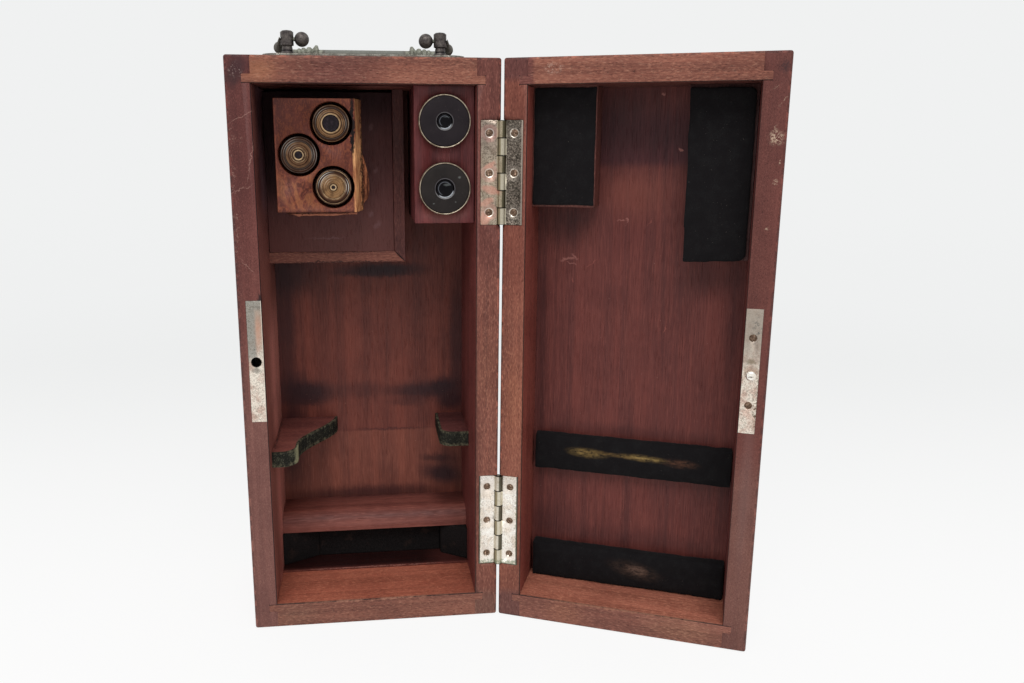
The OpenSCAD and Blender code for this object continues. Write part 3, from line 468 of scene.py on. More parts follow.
right = wood("right_side_wood", case_half, "z", (150, 94, 79), (122, 74, 63), 23.0, face=(124, 64, 60))
right.mark(0.5, (78, 48, 46), (78.5, 0, 200), (0.4, 20, 120), 0.6)
right.mark(0.5, (84, 50, 46), (72.4, 0, 200), (0.7, 20, 180))
rim = right.y.fade(3, 1)
right.tint(right.z.fade(236, 276) * rim, (0.72, 0.64, 0.7))
right.shade(0.6, (1.2, 1.25, 1.12), (79, 0, 190), (12, 3, 40))
right.tint(right.z.fade(24, 14) * rim, (0.8, 1, 1.06))
dress("case_right_side", "right_side_board", case_half, "mahogany", right.close(), flat=False)


def saw_marks(coat, start):
    """Dark and pale dashes along an edge that was sawn and never planed."""
    sawn = coat.cloud(1.1, 4, start, 0.75, (0.2, 1, 1))
    coat.tint(sawn.fade(0.48, 0.34) * 0.6, (0.6, 0.5, 0.5))
    coat.lay(sawn.fade(0.54, 0.68) * 0.4, paint(186, 144, 122))


top = wood("top_board_wood", case_half, "x", (150, 95, 78), (122, 75, 62), 41.0, 0.55, 8, face=(104, 56, 50))
top.mark(0.3, (182, 122, 84), (-66, 0.15, 386), (16, 6, 12))
top.shade(1, (0.7, 0.66, 0.76), (-20, 0.15, 386), (42, 6, 20))
top.shade(0.9, (0.78, 0.74, 0.76), (2, 0.15, 386), (24, 6, 20))
saw_marks(top, 47)
top.shade(0.4, (0.72, 0.62, 0.64), (30, 0, 392), (60, 6, 8))
top.shade(0.35, (0.7, 0.6, 0.6), (-10, 0, 390), (70, 20, 5))
dress("case_top", "top_board", case_half, "rim_wood", top.close())

# The face tone, brighter than the other boards', is painted light on the board's upward face.
bottom = wood("bottom_board_wood", case_half, "x", (150, 98, 82), (124, 79, 67), 61.0, 0.45, 9, face=(182, 106, 84))
rub = bottom.cloud(7, 4).fade(0.4, 0.6)
bottom.mark(rub * 0.75, (178, 126, 104), (0, 0.15, 18), (72, 2.6, 1.6), 0.8)
bottom.shade(0.35, (0.6, 0.5, 0.5), (40, 20, 18), (18, 10, 6))
bottom.shade(0.6, (1.18, 1.45, 1.4), (-58, 0.15, 9), (22, 3, 14))
dress("case_bottom", "bottom_board", case_half, "rim_wood", bottom.close())


# The back panel of the case
# One thin board of straight-grained, redder wood, its grain upright, let into the four boards. Old brackets and
# damp have stained it, painted shade darkens it under the shelf, along the walls and towards the top, and the lower
# part has bleached where the microscope's foot and pillar stood.
panel = wood("back_panel_wood", case_half, "z", (122, 64, 53), (98, 51, 44), 81.0, 0.12, 11, fleck=(0.05, 0.3),
             vein=0.2)
pale_edge = panel.z + 5 * panel.cloud(14, 5, 5, 0.75)
panel.tint(pale_edge.fade(119, 117) * panel.y.fade(95, 93) * 0.85, (1.3, 1.5, 1.42))
panel.mark(0.55, (62, 32, 32), (14, 90, 116.5), (44, 7, 1.6), 0.8)
# Dark marks of one tone: stains round the old brackets, and painted shade under the shelf and along both walls.
for x, z, wide, high, lean, share in (
    (-52, 150, 36, 13, 3, 0.95),
    (-56, 143, 30, 9, 0, 0.8),
    (-62, 158, 16, 16, 0, 0.6),
    (34, 148, 32, 10, 0, 0.85),
    (56, 150, 24, 13, -8, 1.0),
    (62, 139, 18, 13, 0, 0.9),
    (28, 139, 22, 6, 0, 0.5),
    (-8, 150, 30, 10, 0, 0.4),
    (-62, 130, 14, 16, 0, 0.7),
    (-50, 122, 22, 8, 0, 0.5),
    (56, 76, 26, 13, 14, 0.95),
    (50, 90, 18, 5, 6, 0.7),
    (60, 86, 14, 20, 0, 0.6),
    (10, 246, 50, 8, 0, 1.0),
    (4, 243, 44, 4, 2, 0.7),
    (-66, 210, 14, 90, 0, 0.7),
    (68, 190, 12, 90, 0, 0.75),
    (-60, 244, 30, 26, 0, 0.75),
    (-66, 96, 14, 40, 0, 0.6),
    (0, 62, 90, 10, 0, 0.7),
):
    panel.mark(share, (46, 23, 27), (x, 90, z), (wide, 7, high), 0.8, lean)
rubs = panel.cloud(2.2, 5, 9, 0.8).fade(0.6, 0.72)
panel.mark(rubs * 0.5, (140, 92, 80), (0, 90, 134), (64, 7, 7), 0.8)
specks = panel.cloud(1.5, 2, 219).fade(0.76, 0.8)
panel.lay(specks * 0.6, paint(176, 130, 112))
# Painted shade: the panel darkens towards the top, under the top board and the shelf.
panel.tint(panel.z.fade(190, 270) * 0.4, (0.6, 0.56, 0.6))
dress("case_back_panel", "back_panel", case_half, "red_wood", panel.close(), 0, 0)


# The accessory box
# A shelf and an upright, mitred where they meet, close off the upper left corner, and a thin stained panel with a
# gap all round closes its front. It held slides and small parts.
box_front = 59
mitre = ((22.5, box_front, 260), (0.55, 4, 6.6), 0.5, -45, True)
mitre_line = paint(24, 12, 13)
shelf = wood("shelf_wood", case_half, "x", (134, 82, 68), (108, 62, 54), 101.0, face=(92, 50, 46), front=box_front)
shelf.mark(0.7, (60, 34, 32), (-22, box_front, 263.6), (52, 3, 0.7), 0.6)
shelf.lay(shelf.patch(*mitre), mitre_line)
shelf.mark(0.8, (46, 26, 26), (-22, box_front, 256.4), (60, 3, 0.6), 0.6)
dress("accessory_shelf", "accessory_shelf_board", case_half, "mahogany", shelf.close(), 0.35)
upright = wood("upright_wood", case_half, "z", (104, 58, 52), (80, 44, 42), 121.0, face=(76, 40, 40), front=box_front)
# Painted shade: the upright darkens towards the top.
upright.tint(upright.z.fade(280, 360) * 0.6, (0.62, 0.55, 0.6))
upright.lay(upright.patch(*mitre), mitre_line)
upright.mark(0.5, (96, 64, 66), (26.2, box_front, 300), (0.5, 3, 60), 0.6)
dress("accessory_upright", "accessory_upright_board", case_half, "mahogany", upright.close(), 0.35)
cover = wood("stained_panel_wood", case_half, "z", (94, 55, 53), (80, 46, 46), 141.0, 0.1, 20, 0.4, 0.6,
             fleck=(0.1, 0.2), vein=0.15)
# Painted light on the lower part, and painted shade along the top and down the upper left.
cover.lay(cover.z.fade(320, 262) * 0.5, paint(106, 64, 58))
cover.tint(cover.z.fade(340, 372) | cover.x.fade(-52, -68) * cover.z.fade(270, 330), (0.32, 0.3, 0.36))
for x, z, wide, high, lean in (
    (6, 283, 2.6, 5, 35),
    (2, 291, 3, 3, 0),
    (3, 352, 1.6, 4, 20),
    (6, 322, 1.6, 3.4, 10),
    (-30, 274, 20, 1, 0),
):
    cover.mark(0.4, (122, 90, 92), (x, box_front, z), (wide, 9, high), 0.8, lean)
dress("accessory_panel", "accessory_cover", case_half, "dark_wood", cover.close(), 0.4)


# The objective block
# A block of pale, finely figured wood, bored for three objectives. Its right side and underside have split off raw,
# with a splinter and a rough ledge left behind.
block_front = 9
block = wood("objective_block_wood", case_half, "z", (136, 80, 58), (108, 62, 47), 161.0, 0.1, 5, 0.5, 0.55,
             fleck=(0.4, 0.3), vein=0.2)
swirl = block.cloud(3.2, 4, 170, 0.6, (1, 1, 0.5), 2.2).fade(0.5, 0.58)
block.lay(swirl * 0.4, paint(170, 106, 64))
figure = (26 * block.cloud(19, 3, 175, 0.5, (1, 1, 0.6), 0.8)).sine()
block.tint(1.0, (0.84, 0.7, 0.82))
curl = block.patch((-44, block_front, 310), (26, 8, 24))
block.tint(curl * figure.fade(0.75, 1.0) * 0.75, (0.42, 0.34, 0.32))
block.lay(curl * figure.fade(0.2, -0.6) * 0.3, paint(186, 122, 78))
# Painted shade, with some darker wood, on the block's upper left under the top board.
block.shade(0.8, (0.42, 0.34, 0.38), (-52, block_front, 364), (30, 6, 34))
block.shade(0.4, (0.5, 0.44, 0.5), (-22, block_front, 334), (20, 6, 10))
block.tint(block.z.fade(299, 296.8) * 0.6, (0.4, 0.3, 0.3))
block.shade(0.3, (0.6, 0.5, 0.5), (-40, block_front, 344), (24, 6, 4))
grit = block.cloud(1.6, 5, 30, 0.75, (1, 1, 0.12))
cheek = (block.x + 1.6 * grit).fade(-7.4, -6.8) * block.y.fade(9.4, 10.6)
raw = block.blend(grit.fade(0.36, 0.62), paint(150, 82, 52), paint(236, 176, 122))
block.lay(cheek, raw, 0.85, 2.5 * grit)
block.tint(cheek * block.y.fade(17, 34) * 0.5, (0.6, 0.42, 0.34))
block.tint(cheek * block.z.fade(334, 356) * 0.7, (0.4, 0.34, 0.34))
rim = (block.x + 1.2 * grit).fade(-9.0, -8.2) * block.y.fade(10.6, 9.4)
block.lay(rim * block.z.fade(350, 338) * 0.85, raw)
splint = block.blend(grit.fade(0.4, 0.6), paint(80, 40, 28), paint(186, 116, 80))
block.lay(block.x.fade(-3.4, -3.0), splint)
block.mark(0.85, (40, 20, 14), (-3.4, 26, 330), (0.8, 30, 60), 0.5)
crack = block.patch((-9.2, block_front, 352), (1.7, 6, 22), 0.35)
block.lay(crack, paint(22, 9, 9), 0.7, -2.0)
ledge_grit = block.cloud(1.8, 5, 50, 0.75, (0.4, 1, 1))
ledge_tone = block.blend(ledge_grit.fade(0.4, 0.62), paint(26, 13, 12), paint(96, 54, 42))
block.lay((block.z + 1.2 * ledge_grit).fade(297.2, 296.6), ledge_tone, 0.9, 2.0 * ledge_grit)
streak = block.cloud(2.0, 4, 77, 0.8, (0.25, 1, 1)).fade(0.42, 0.5)
bottom_line = streak * (block.z + 1.6 * ledge_grit).fade(295.2, 294.6) * block.x.fade(-56, -48)
block.lay(bottom_line * 0.85, paint(190, 122, 96), 0.9)

cheek_side = -7.5
ledge_top = 296.4
ledge_left = -59
ledge_right = -8
splinter_side = -3.6
splinter_head = 334.4


def held(share):
    return min(1, max(0, share))


def split_wood(shape, back):
    """Breaks up the raw cheek, the splinter and the ledge of the block with ragged facets."""
    raw_faces = []
    for face in shape.faces:
        middle = back @ face.calc_center_median()
        if (middle.x > cheek_side - 0.05 or middle.z < ledge_top + 0.05) and middle.y > block_front + 0.5:
            raw_faces.append(face)
    edges = list({edge for face in raw_faces for edge in face.edges if edge.calc_length() > 0.004})
    bmesh.ops.subdivide_edges(shape, edges=edges, cuts=11, use_grid_fill=True)
    forth = back.inverted()
    for vertex in shape.verts:
        spot = back @ vertex.co
        splinter = spot.x > splinter_side + 0.25 and 299 < spot.z < 336
        if spot.y < block_front + 0.6 or (spot.y > 39 and not splinter):
            continue
        jag = noise.noise(Vector((spot.x * 0.35, spot.y * 0.35, spot.z * 0.12)) + Vector((7, 3, 1)))
        fine = noise.noise(spot * 0.9)
        if splinter:
            share = held((spot.z - 300.8) / (splinter_head - 300.8))
            swell = math.sin(math.pi * min(1, 0.72 * (1 - share) + 0.02)) ** 0.9 * min(1, 0.35 + share * 6)
            spot.x = -3.9 + (spot.x - splinter_side) * (0.02 + 1.05 * swell) + 0.35 * jag + 0.2 * fine
        elif spot.x > cheek_side:
            spot.x += 0.7 * jag + 0.3 * fine
        if spot.z < ledge_top - 0.1:
            dip = held((spot.x - ledge_left) / 9) * held((ledge_right - spot.x) / 9)
            ragged = noise.noise(Vector((spot.x * 0.5, 0, 4)))
            spot.z = ledge_top + (spot.z - ledge_top) * (0.1 + 0.75 * dip) + 0.8 * jag + 0.9 * ragged
        vertex.co = forth @ spot


dress("objective_block", "bored_block", case_half, "light_wood", block.close(0.25), 0.35, 0.35, 7, carve=split_wood)


# The eyepiece block
# A redder block with upright grain is screwed into the upper right corner and bored for two eyepieces.
eye_wood = wood("eyepiece_block_wood", case_half, "z", (114, 54, 54), (86, 42, 44), 181.0, 0.15, 6, 0.7,
                fleck=(0.07, 0.3), vein=0.3)
eye_wood.tint(eye_wood.z.fade(300, 320) * 0.8, (0.78, 0.78, 0.8))
eye_wood.mark(0.35, (150, 100, 92), (51, block_front, 296), (24, 4, 10))
eye_wood.tint(eye_wood.x.fade(58, 70) * 0.35, (0.6, 0.5, 0.5))
# Painted shade along the top of the block, under the top board.
eye_wood.shade(0.4, (0.6, 0.5, 0.5), (51, block_front, 380), (24, 90, 9))
dress("eyepiece_block", "eyepiece_holder", case_half, "red_wood", eye_wood.close(), 0.35, 0.35)


# The brackets for the pillar
# Two rounded shelves of red wood stand out from the walls. Dark green felt is glued round their front edges to
# steady the microscope's pillar. Its corners are paler, and its borders are lighter, partly paler felt and partly a
# painted highlight.
bracket = wood("bracket_wood", case_half, "x", (150, 90, 80), (120, 68, 63), 201.0, 0.3, 9, 0.4)
bracket.mark(0.4, (70, 40, 40), (-52, 40, 128), (12, 14, 4))
bracket.tint(bracket.x.fade(30, 50) * 0.8, (0.42, 0.4, 0.48))
bracket.tint(bracket.y.fade(50, 84) * 0.6, (0.45, 0.4, 0.46))
bracket.mark(0.8, (30, 18, 18), (-70.4, 50, 128.5), (0.8, 50, 4), 0.6)
bracket_finish = bracket.close()
felt = Coat("green_felt", case_half, 1.0)
hair = felt.cloud(0.5, 4, 7, 0.8)
blotch = felt.cloud(3.6, 5, 17, 0.75, (1, 1, 0.7))
lint = felt.cloud(0.9, 4, 27, 0.8)
felt.colour = felt.blend(hair.fade(0.32, 0.7), paint(16, 17, 17), paint(58, 58, 52))
felt.lay(blotch.fade(0.5, 0.66) * 0.7 * lint.fade(0.4, 0.6), paint(112, 112, 92))
# Painted highlight along the felt's upper border, and paler felt along its lower one, broken by the blotches.
edges = felt.z.fade(126.4, 128.2) | felt.z.fade(120.6, 118.8)
felt.lay(edges * blotch.fade(0.42, 0.6) * 0.6, paint(122, 116, 94))
felt.lay(lint.fade(0.62, 0.68) * 0.8, paint(176, 172, 150))
for spot, reach, share in (
    ((-53, 17, 123.5), (4, 16, 20), 1.0),
    ((-48.5, 22, 123.5), (2, 10, 20), 0.5),
    ((-9.5, 54, 123), (3, 14, 9), 0.7),
    ((42, 48, 123), (3, 14, 10), 0.8),
):
    felt.mark(share, (172, 172, 136), spot, reach, 0.7)
felt.rough = 0.95
felt.height = hair + 0.5 * blotch
felt_finish = felt.close(0.5, Specular_IOR_Level=0.05)
for side in ("left", "right"):
    dress(side + "_bracket", side + "_pillar_bracket", case_half, "mahogany", bracket_finish, 0.3, 0.3)
for side in ("left", "right"):
    dress(side + "_bracket_felt", side + "_bracket_lining", case_half, "green_felt", felt_finish, 0.4, 0.4, 5)


# The foot clamp
# A bar with a rounded nose crosses the case near its bottom, and the microscope's foot slides in under it on a thin
# board, between blocks covered in black felt.
bar = wood("clamp_bar_wood", case_half, "x", (140, 82, 72), (114, 64, 57), 221.0, 0.2, 7, 0.5, fleck=(0.08, 0.4))
# Painted highlight along the rounded nose of the bar.
bar.mark(0.5, (140, 88, 80), (0, 60, 50), (75, 8, 2.6), 0.8)
# Painted shade on the bar's right and back, where it meets the back panel, and at its left end by the wall.
bar.shade(0.75, (0.35, 0.3, 0.34), (62, 84, 60), (22, 26, 8))
bar.shade(0.6, (0.4, 0.34, 0.36), (0, 92, 60), (75, 9, 5))
bar.shade(0.6, (0.4, 0.34, 0.36), (-74, 70, 52), (5, 30, 14))
dress("foot_clamp_bar", "foot_clamp_rail", case_half, "mahogany", bar.close(), 0.3, 0.3)
board = wood("foot_board_wood", case_half, "x", (112, 60, 50), (88, 48, 44), 241.0, 0.3, 8, 0.9)
# Painted shade on the board under the bar, a little lighter to the right.
board.tint(board.y.fade(46.8, 48.5), (0.42, 0.38, 0.42))
board.tint(board.y.fade(47, 52) * 0.95, (0.3, 0.25, 0.27))
board.mark(0.3, (110, 58, 52), (60, 60, 19.5), (26, 30, 9))
board.mark(0.6, (150, 104, 92), (0, 46.6, 19.4), (76, 0.8, 0.8), 0.6)
dress("foot_board", "foot_floor_board", case_half, "red_wood", board.close(), 0.3, 0.3)
black_felt = Coat("black_felt", case_half, 1.0)
hair = black_felt.cloud(0.6, 4, 3, 0.8)
dusty = black_felt.cloud(8, 4, 13, 0.7)
black_felt.colour = black_felt.blend(hair.fade(0.3, 0.75), paint(18, 17, 18), paint(44, 40, 40))
black_felt.lay(dusty.fade(0.55, 0.7) * 0.35, paint(66, 50, 44))
black_felt.rough = 0.96
black_felt.height = hair
black_felt_finish = black_felt.close(0.4, Specular_IOR_Level=0.05)
for node, name in (
    ("foot_guide_left", "left_foot_block"),
    ("foot_guide_right", "right_foot_block"),
    ("foot_stop", "back_foot_block"),
):
    dress(node, name, case_half, "black_velvet", black_felt_finish, 0.9, 0.9, 6)


# The objectives
# Three brass objectives of low, middle and high power stand in the holes of the block, noses out. Each nose is
# turned in steps round its front lens, and lacquer and age have left brown and pale rings.
def turned(name, rail, centre, material, stands_for, sides=72, smooth=35):
    """Spins a rail of radii and heights round the line that points out of the case from a centre, in millimetres."""
    shape = bmesh.new()
    points = [shape.verts.new((radius, 0, height)) for radius, height in rail]
    edges = [shape.edges.new(pair) for pair in zip(points, points[1:])]
    bmesh.ops.spin(
        shape, geom=points + edges, cent=(0, 0, 0), axis=(0, 0, 1), angle=2 * math.pi, steps=sides, use_merge=True
    )
    bmesh.ops.remove_doubles(shape, verts=shape.verts[:], dist=0.002)
    shape.transform(case_half["matrix"] @ Matrix.Translation(centre) @ Matrix.Rotation(math.radians(90), 4, "X"))
    place_piece(name, finished(shape, name), case_half, material, [stands_for], smooth)


def lathe_brass(name, hole, rings, glow):
    """Lacquered brass seen end on: rings of pale and brown about the axis, with tarnish between, and a painted
    highlight on the grooves at the upper left and right, as strong as glow.
    """
    coat = Coat(name, case_half, 0.6)
    out = coat.radius(*hole)
    stain = coat.cloud(5, 4, hole[0], 0.6)
    widest = 16
    stops = [(radius / widest, shade) for radius, shade in rings]
    bands = coat.add("ValToRGB", {"stops": stops}, {0: out / widest + (stain - 0.5) * 0.03})
    coat.colour = coat.blend(stain.fade(0.42, 0.66) * 0.6, bands, paint(70, 50, 40))
    # Painted highlight at the upper left and right of each nose, along its grooves.
    highlight_upper_left = coat.patch((hole[0] - 9, block_front, hole[1] + 9), (11, 30, 11))
    right_side = coat.patch((hole[0] + 11, block_front, hole[1] + 1), (5, 30, 9))
    grooves = (out * 4.6).sine()
    coat.lay((highlight_upper_left | right_side) * grooves.fade(0.4, 0.9) * glow, paint(236, 232, 224), 0.25)
    coat.tint(grooves.fade(-0.4, -0.9) * 0.5, (0.5, 0.42, 0.38))
    coat.rough = 0.33 + 0.2 * stain
    coat.height = (out * 21).sine() * 0.12
    return coat.close(0.05, 1.0)


pale = paint(196, 168, 132)
gold = paint(146, 112, 78)
tan = paint(128, 98, 72)
brown = paint(84, 58, 44)
grey = paint(88, 78, 72)
dark = paint(28, 18, 16)
low_hole = (-22.9, 353.7)
mid_hole = (-44.3, 333.6)
high_hole = (-22.5, 312.7)
objective_seat = 40
barrel = 10
chamfer = 0.35


def objective(power, hole, steps, bore, glow, *rings):
    """One objective: its steps as radii and heights from the seat, its bore, the strength of the painted highlight on
    its brass, and the rings on its brass.
    """
    rail = [(barrel, -8), (barrel, 0), (steps[0][0], 0)]
    for number, (radius, height) in enumerate(steps):
        rail += [(radius, height - chamfer), (radius - chamfer, height)]
        if number + 1 < len(steps):
            rail.append((steps[number + 1][0] + 0.1, height + 0.02))
    nose = steps[-1][1]
    rail += [(bore + 0.25, nose), (bore, nose - 0.25), (bore, nose - 1.15), (0, nose - 1.2)]
    name = power + "_power_objective"
    brass = lathe_brass(name + "_brass", hole, rings, glow)
    turned(name, rail, (hole[0], objective_seat, hole[1]), brass, "objective_" + power + "_power")


objective(
    "low", low_hole, ((12.05, 27.9), (11.2, 28.4), (10.36, 29.45), (8.44, 30.7), (7.0, 31.3)), 5.4, 0.25,
    (0, dark), (5.4, dark), (5.6, pale), (6.5, gold), (6.9, dark), (7.3, tan), (8.6, gold), (9.1, brown),
    (9.5, dark), (9.9, grey), (10.9, brown), (11.5, tan), (12.2, dark),
)
objective(
    "mid", mid_hole, ((12.05, 27.0), (11.1, 27.5), (9.64, 28.5), (6.4, 30.1), (4.5, 31.3)), 2.5, 0.3,
    (0, dark), (2.5, pale), (3.1, pale), (3.5, dark), (4.0, brown), (4.5, pale), (5.1, brown), (6.4, tan),
    (6.7, brown), (8.0, tan), (8.5, dark), (9.2, grey), (10.8, brown), (11.6, grey), (12.2, dark),
)
objective(
    "high", high_hole, ((12.05, 27.6), (11.4, 28.1), (10.6, 28.5), (7.35, 29.45), (2.7, 31.3)), 1.2, 0.8,
    (0, pale), (1.8, pale), (2.3, dark), (2.8, gold), (7.3, gold), (7.7, pale), (8.3, tan), (8.8, brown),
    (10.0, dark), (10.5, brown), (11.0, pale), (11.6, grey), (12.2, dark),
)


# The glass
# Each objective and eyepiece closes with a small ground lens, dark from the black tube behind it. A faint bloom
# lies on the glass.
def dark_glass(name, tone, milky):
    coat = Coat(name, case_half, 0.5)
    bloom = coat.cloud(2.2, 3, 9, 0.6)
    coat.colour = coat.blend(bloom.fade(0.4, 0.75) * 0.6, tone, milky)
    coat.rough = 0.05 + 0.12 * bloom.fade(0.5, 0.8)
    return coat


def lens_rail(radius, top, bulge, thick):
    """Half of a lens from its foot over its edge to its crown."""
    rail = [(0, top - thick), (radius, top - thick), (radius, top)]
    for turn in range(1, 8):
        slope = turn / 8 * math.pi / 2
        rail.append((radius * math.cos(slope), top + bulge * math.sin(slope)))
    return rail + [(0, top + bulge)]


violet_glass = dark_glass("coated_front_glass", paint(20, 13, 18), paint(58, 46, 54)).close(Specular_IOR_Level=0.15)
for power, hole, radius, front in (
    ("low", low_hole, 5.35, 30.5),
    ("mid", mid_hole, 2.45, 30.6),
    ("high", high_hole, 1.15, 30.7),
):
    rail = lens_rail(radius, front, 0.25 * radius ** 0.5, 0.35)
    centre = (hole[0], objective_seat, hole[1])
    turned(power + "_power_lens", rail, centre, violet_glass, "objective_lenses", 48, 60)


# The eyepieces
# Each eyepiece is a brass tube with a wide rim, a blackened cap let into the rim, and an eye lens set in a thin
# pale ring at its middle.
eye_x = 51
cap_coat = Coat("blackened_cap", case_half, 0.6)
dust = cap_coat.cloud(1.2, 4, 33, 0.75)
cloudy = cap_coat.cloud(9, 3, 51, 0.6)
cap_coat.colour = cap_coat.blend(cloudy, paint(26, 21, 25), paint(44, 38, 41))
cap_coat.lay(cap_coat.z.fade(336, 330) * 0.5, cap_coat.blend(cloudy, paint(28, 26, 22), paint(52, 48, 42)))
cap_coat.lay(dust.fade(0.6, 0.72) * 0.4, paint(90, 80, 78))
for x, z, wide, high in ((61, 319, 1.6, 1.2), (43.5, 302, 1.0, 0.6), (58, 303, 0.8, 0.8)):
    cap_coat.mark(0.6, (120, 124, 122), (x, block_front, z), (wide, 9, high), 0.6)
cap_coat.rough = 0.55 + 0.2 * dust
cap_coat.height = dust
cap_finish = cap_coat.close(0.04, Specular_IOR_Level=0.12)


def eyepiece(word, height, eye):
    """One eyepiece with its own brass and glass, with painted reflections on its lens and a painted highlight on its
    lens ring; eye is the radius of its eye lens.
    """
    brass = Coat(word + "_eyepiece_brass", case_half, 0.6)
    far = brass.radius(eye_x, height)
    tarnish = brass.cloud(4, 4, 21 + height, 0.65)
    brass.colour = brass.blend(tarnish.fade(0.4, 0.62), paint(190, 176, 156), paint(136, 122, 104))
    brass.lay(far.fade(16.55, 16.4) * 0.6, paint(60, 52, 46))
    ring = far.fade(9, 8.6)
    brass.lay(ring, paint(92, 88, 90))
    # Painted highlight on the lower part of the ring round the eye lens.
    brass.lay(ring * brass.z.fade(height - 1, height - 5) * 0.7, paint(160, 158, 158))
    brass.rough = 0.3 + 0.25 * tarnish
    brass.height = tarnish
    glass = dark_glass(word + "_eye_glass", paint(5, 4, 7), paint(12, 11, 15))
    far = glass.radius(eye_x, height)
    # Painted reflections on the eye lens: a pale crescent at its lower edge, thin arcs at its left and top, and a
    # pale pane above its middle.
    reflected_crescent = far.fade(eye - 1.0, eye - 0.7) * (glass.z - 0.3 * glass.x).fade(height - 17.9, height - 19.6)
    glass.lay(reflected_crescent, paint(210, 216, 224))
    reflected_arc = far.fade(eye - 2.3, eye - 2.1) * far.fade(eye - 1.6, eye - 1.8)
    sides = reflected_arc * glass.x.fade(eye_x - 1, eye_x - 3) | reflected_arc * glass.z.fade(height + 1.5, height + 3)
    glass.lay(sides * 0.6, paint(106, 108, 116))
    pane = (eye_x + 1.4, block_front, height + 2.6)
    glass.mark(0.75, (84, 88, 88), pane, (3.4, 9, eye - 5), 0.4)
    centre = (eye_x, block_front, height)
    node = "eyepiece_" + word
    rail = [(10.6, -52), (11.6, -52), (11.6, 0), (16.6, 0), (17.15, 0.4), (17.3, 0.8), (17.3, 3.6), (17.1, 4.1),
            (16.9, 4.35), (16.65, 4.4), (16.45, 4.3), (16.4, 4.1), (16.4, 3.2), (eye + 0.7, 3.2),
            (eye + 0.7, 4.2), (eye + 0.55, 4.4), (eye + 0.2, 4.4), (eye, 4.2), (eye, 1.9)]
    turned(word + "_eyepiece_tube", rail, centre, brass.close(0.03, 1.0), node + "_barrel", 96)
    rail = [(eye + 0.75, 3.25), (eye + 0.75, 4.05), (eye + 1.1, 4.12), (12, 4.22), (15.6, 4.05),
            (16.1, 3.85), (16.3, 3.6), (16.3, 3.25)]
    turned(word + "_eyepiece_cap", rail, centre, cap_finish, node + "_cap", 96)
    rail = lens_rail(eye - 0.05, 2.9, 0.95, 0.9)
    black_glass = glass.close(Specular_IOR_Level=0.1)
    turned(word + "_eye_lens", rail, centre, black_glass, "eyepiece_lenses", 64, 60)


eyepiece("upper", 355.3, 5.3)
eyepiece("lower", 311.7, 6.3)


# The lock and its catch
# The lock's plated faceplate is let into the left front edge with a round hole for the stud. Behind it the lock case
# holds a sliding bolt and its spring, and a small escutcheon guards the keyhole outside.
def plated(name, place, tone, stained, pits=0.55, rough=0.36, start=0.0):
    """Worn nickel plate: cloudy, specked with dark pits and brown round the edges of each pit."""
    coat = Coat(name, place, 1.0)
    cloud = coat.cloud(7, 4, start, 0.65)
    speck = coat.cloud(1.2, 4, start + 20, 0.8)
    peppered = coat.cloud(1.0, 3, start + 40, 0.8)
    coat.colour = coat.blend(cloud.fade(0.4, 0.66), tone, stained)
    coat.rough = rough + 0.25 * cloud.fade(0.4, 0.66)
    coat.lay(peppered.fade(0.52, 0.58) * pits, coat.times(tone, 0.36, 0.34, 0.31), 0.6)
    coat.lay(peppered.fade(0.46, 0.38) * pits * 0.5, coat.times(tone, 1.4, 1.38, 1.34))
    coat.lay(speck.fade(0.58, 0.68) * pits, paint(88, 74, 66), 0.65)
    coat.lay(speck.fade(0.66, 0.74) * pits, paint(34, 28, 26), 0.8)
    coat.height = 0.2 * cloud - speck.fade(0.58, 0.72)
    return coat


light_nickel = paint(236, 226, 212)
warm_nickel = paint(206, 180, 166)
lock_plate = plated("lock_plate_nickel", case_half, light_nickel, warm_nickel, start=3.0)
# Painted shade: the plate darker towards the top.
lock_plate.lay(lock_plate.z.fade(185, 230) * 0.8, paint(156, 138, 124))
lock_plate.mark(0.75, (196, 152, 130), (-75, 0, 218), (4.2, 9, 17))
lead = lock_plate.cloud(1.3, 4, 203, 0.8)
bare = (lock_plate.x.fade(-75.6, -77.4) | lock_plate.z.fade(231, 235)) * lock_plate.z.fade(196, 203)
lock_plate.lay(bare * 0.7, lock_plate.blend(lead.fade(0.4, 0.6), paint(110, 112, 106), paint(172, 172, 164)))
lock_plate.lay(bare * lead.fade(0.56, 0.66) * 0.8, paint(58, 60, 58), 0.6)
# Painted shade under the hole for the stud.
lock_plate.mark(0.6, (110, 104, 96), (-77, 0, 192), (5, 9, 2.4), 0.8)
# Painted highlight along the plate's right edge.
lock_plate.lay(lock_plate.x.fade(-72.6, -72.3) * 0.8, light_nickel)
dress("lock_faceplate", "lock_front_plate", case_half, "pitted_nickel", lock_plate.close(0.08, 1.0), 0.25, 0, 5)
catch = plated("catch_plate_nickel", door_half, light_nickel, warm_nickel, start=13.0)
# Painted shade: the plate darker towards the top.
catch.lay(catch.z.fade(188, 222) * 0.85, paint(156, 144, 132))
lead = catch.cloud(1.5, 4, 213, 0.8)
catch.mark(lead.fade(0.52, 0.62) * 0.9, (84, 90, 90), (79, 0, 226), (5, 9, 16), rough=0.6)
catch.mark(lead.fade(0.48, 0.58) * 0.95, (92, 70, 40), (82, 0, 178), (3.2, 9, 26), 0.8, rough=0.8)
catch.lay(catch.z.fade(188, 180) * lead.fade(0.6, 0.66) * 0.8, paint(70, 58, 48), 0.7)
catch.mark(0.6, (110, 100, 74), (76.6, 0, 205.5), (4.6, 9, 2.4), 0.8)
dress("catch_plate", "stud_plate", door_half, "pitted_nickel", catch.close(0.08, 1.0), 0.25, 0, 5)
stud = plated("stud_nickel", door_half, paint(250, 246, 238), light_nickel, 0.2, 0.24, 23.0)
stud.mark(0.75, (120, 112, 104), (77, -6.5, 197.3), (2.3, 3, 0.5), 0.5)
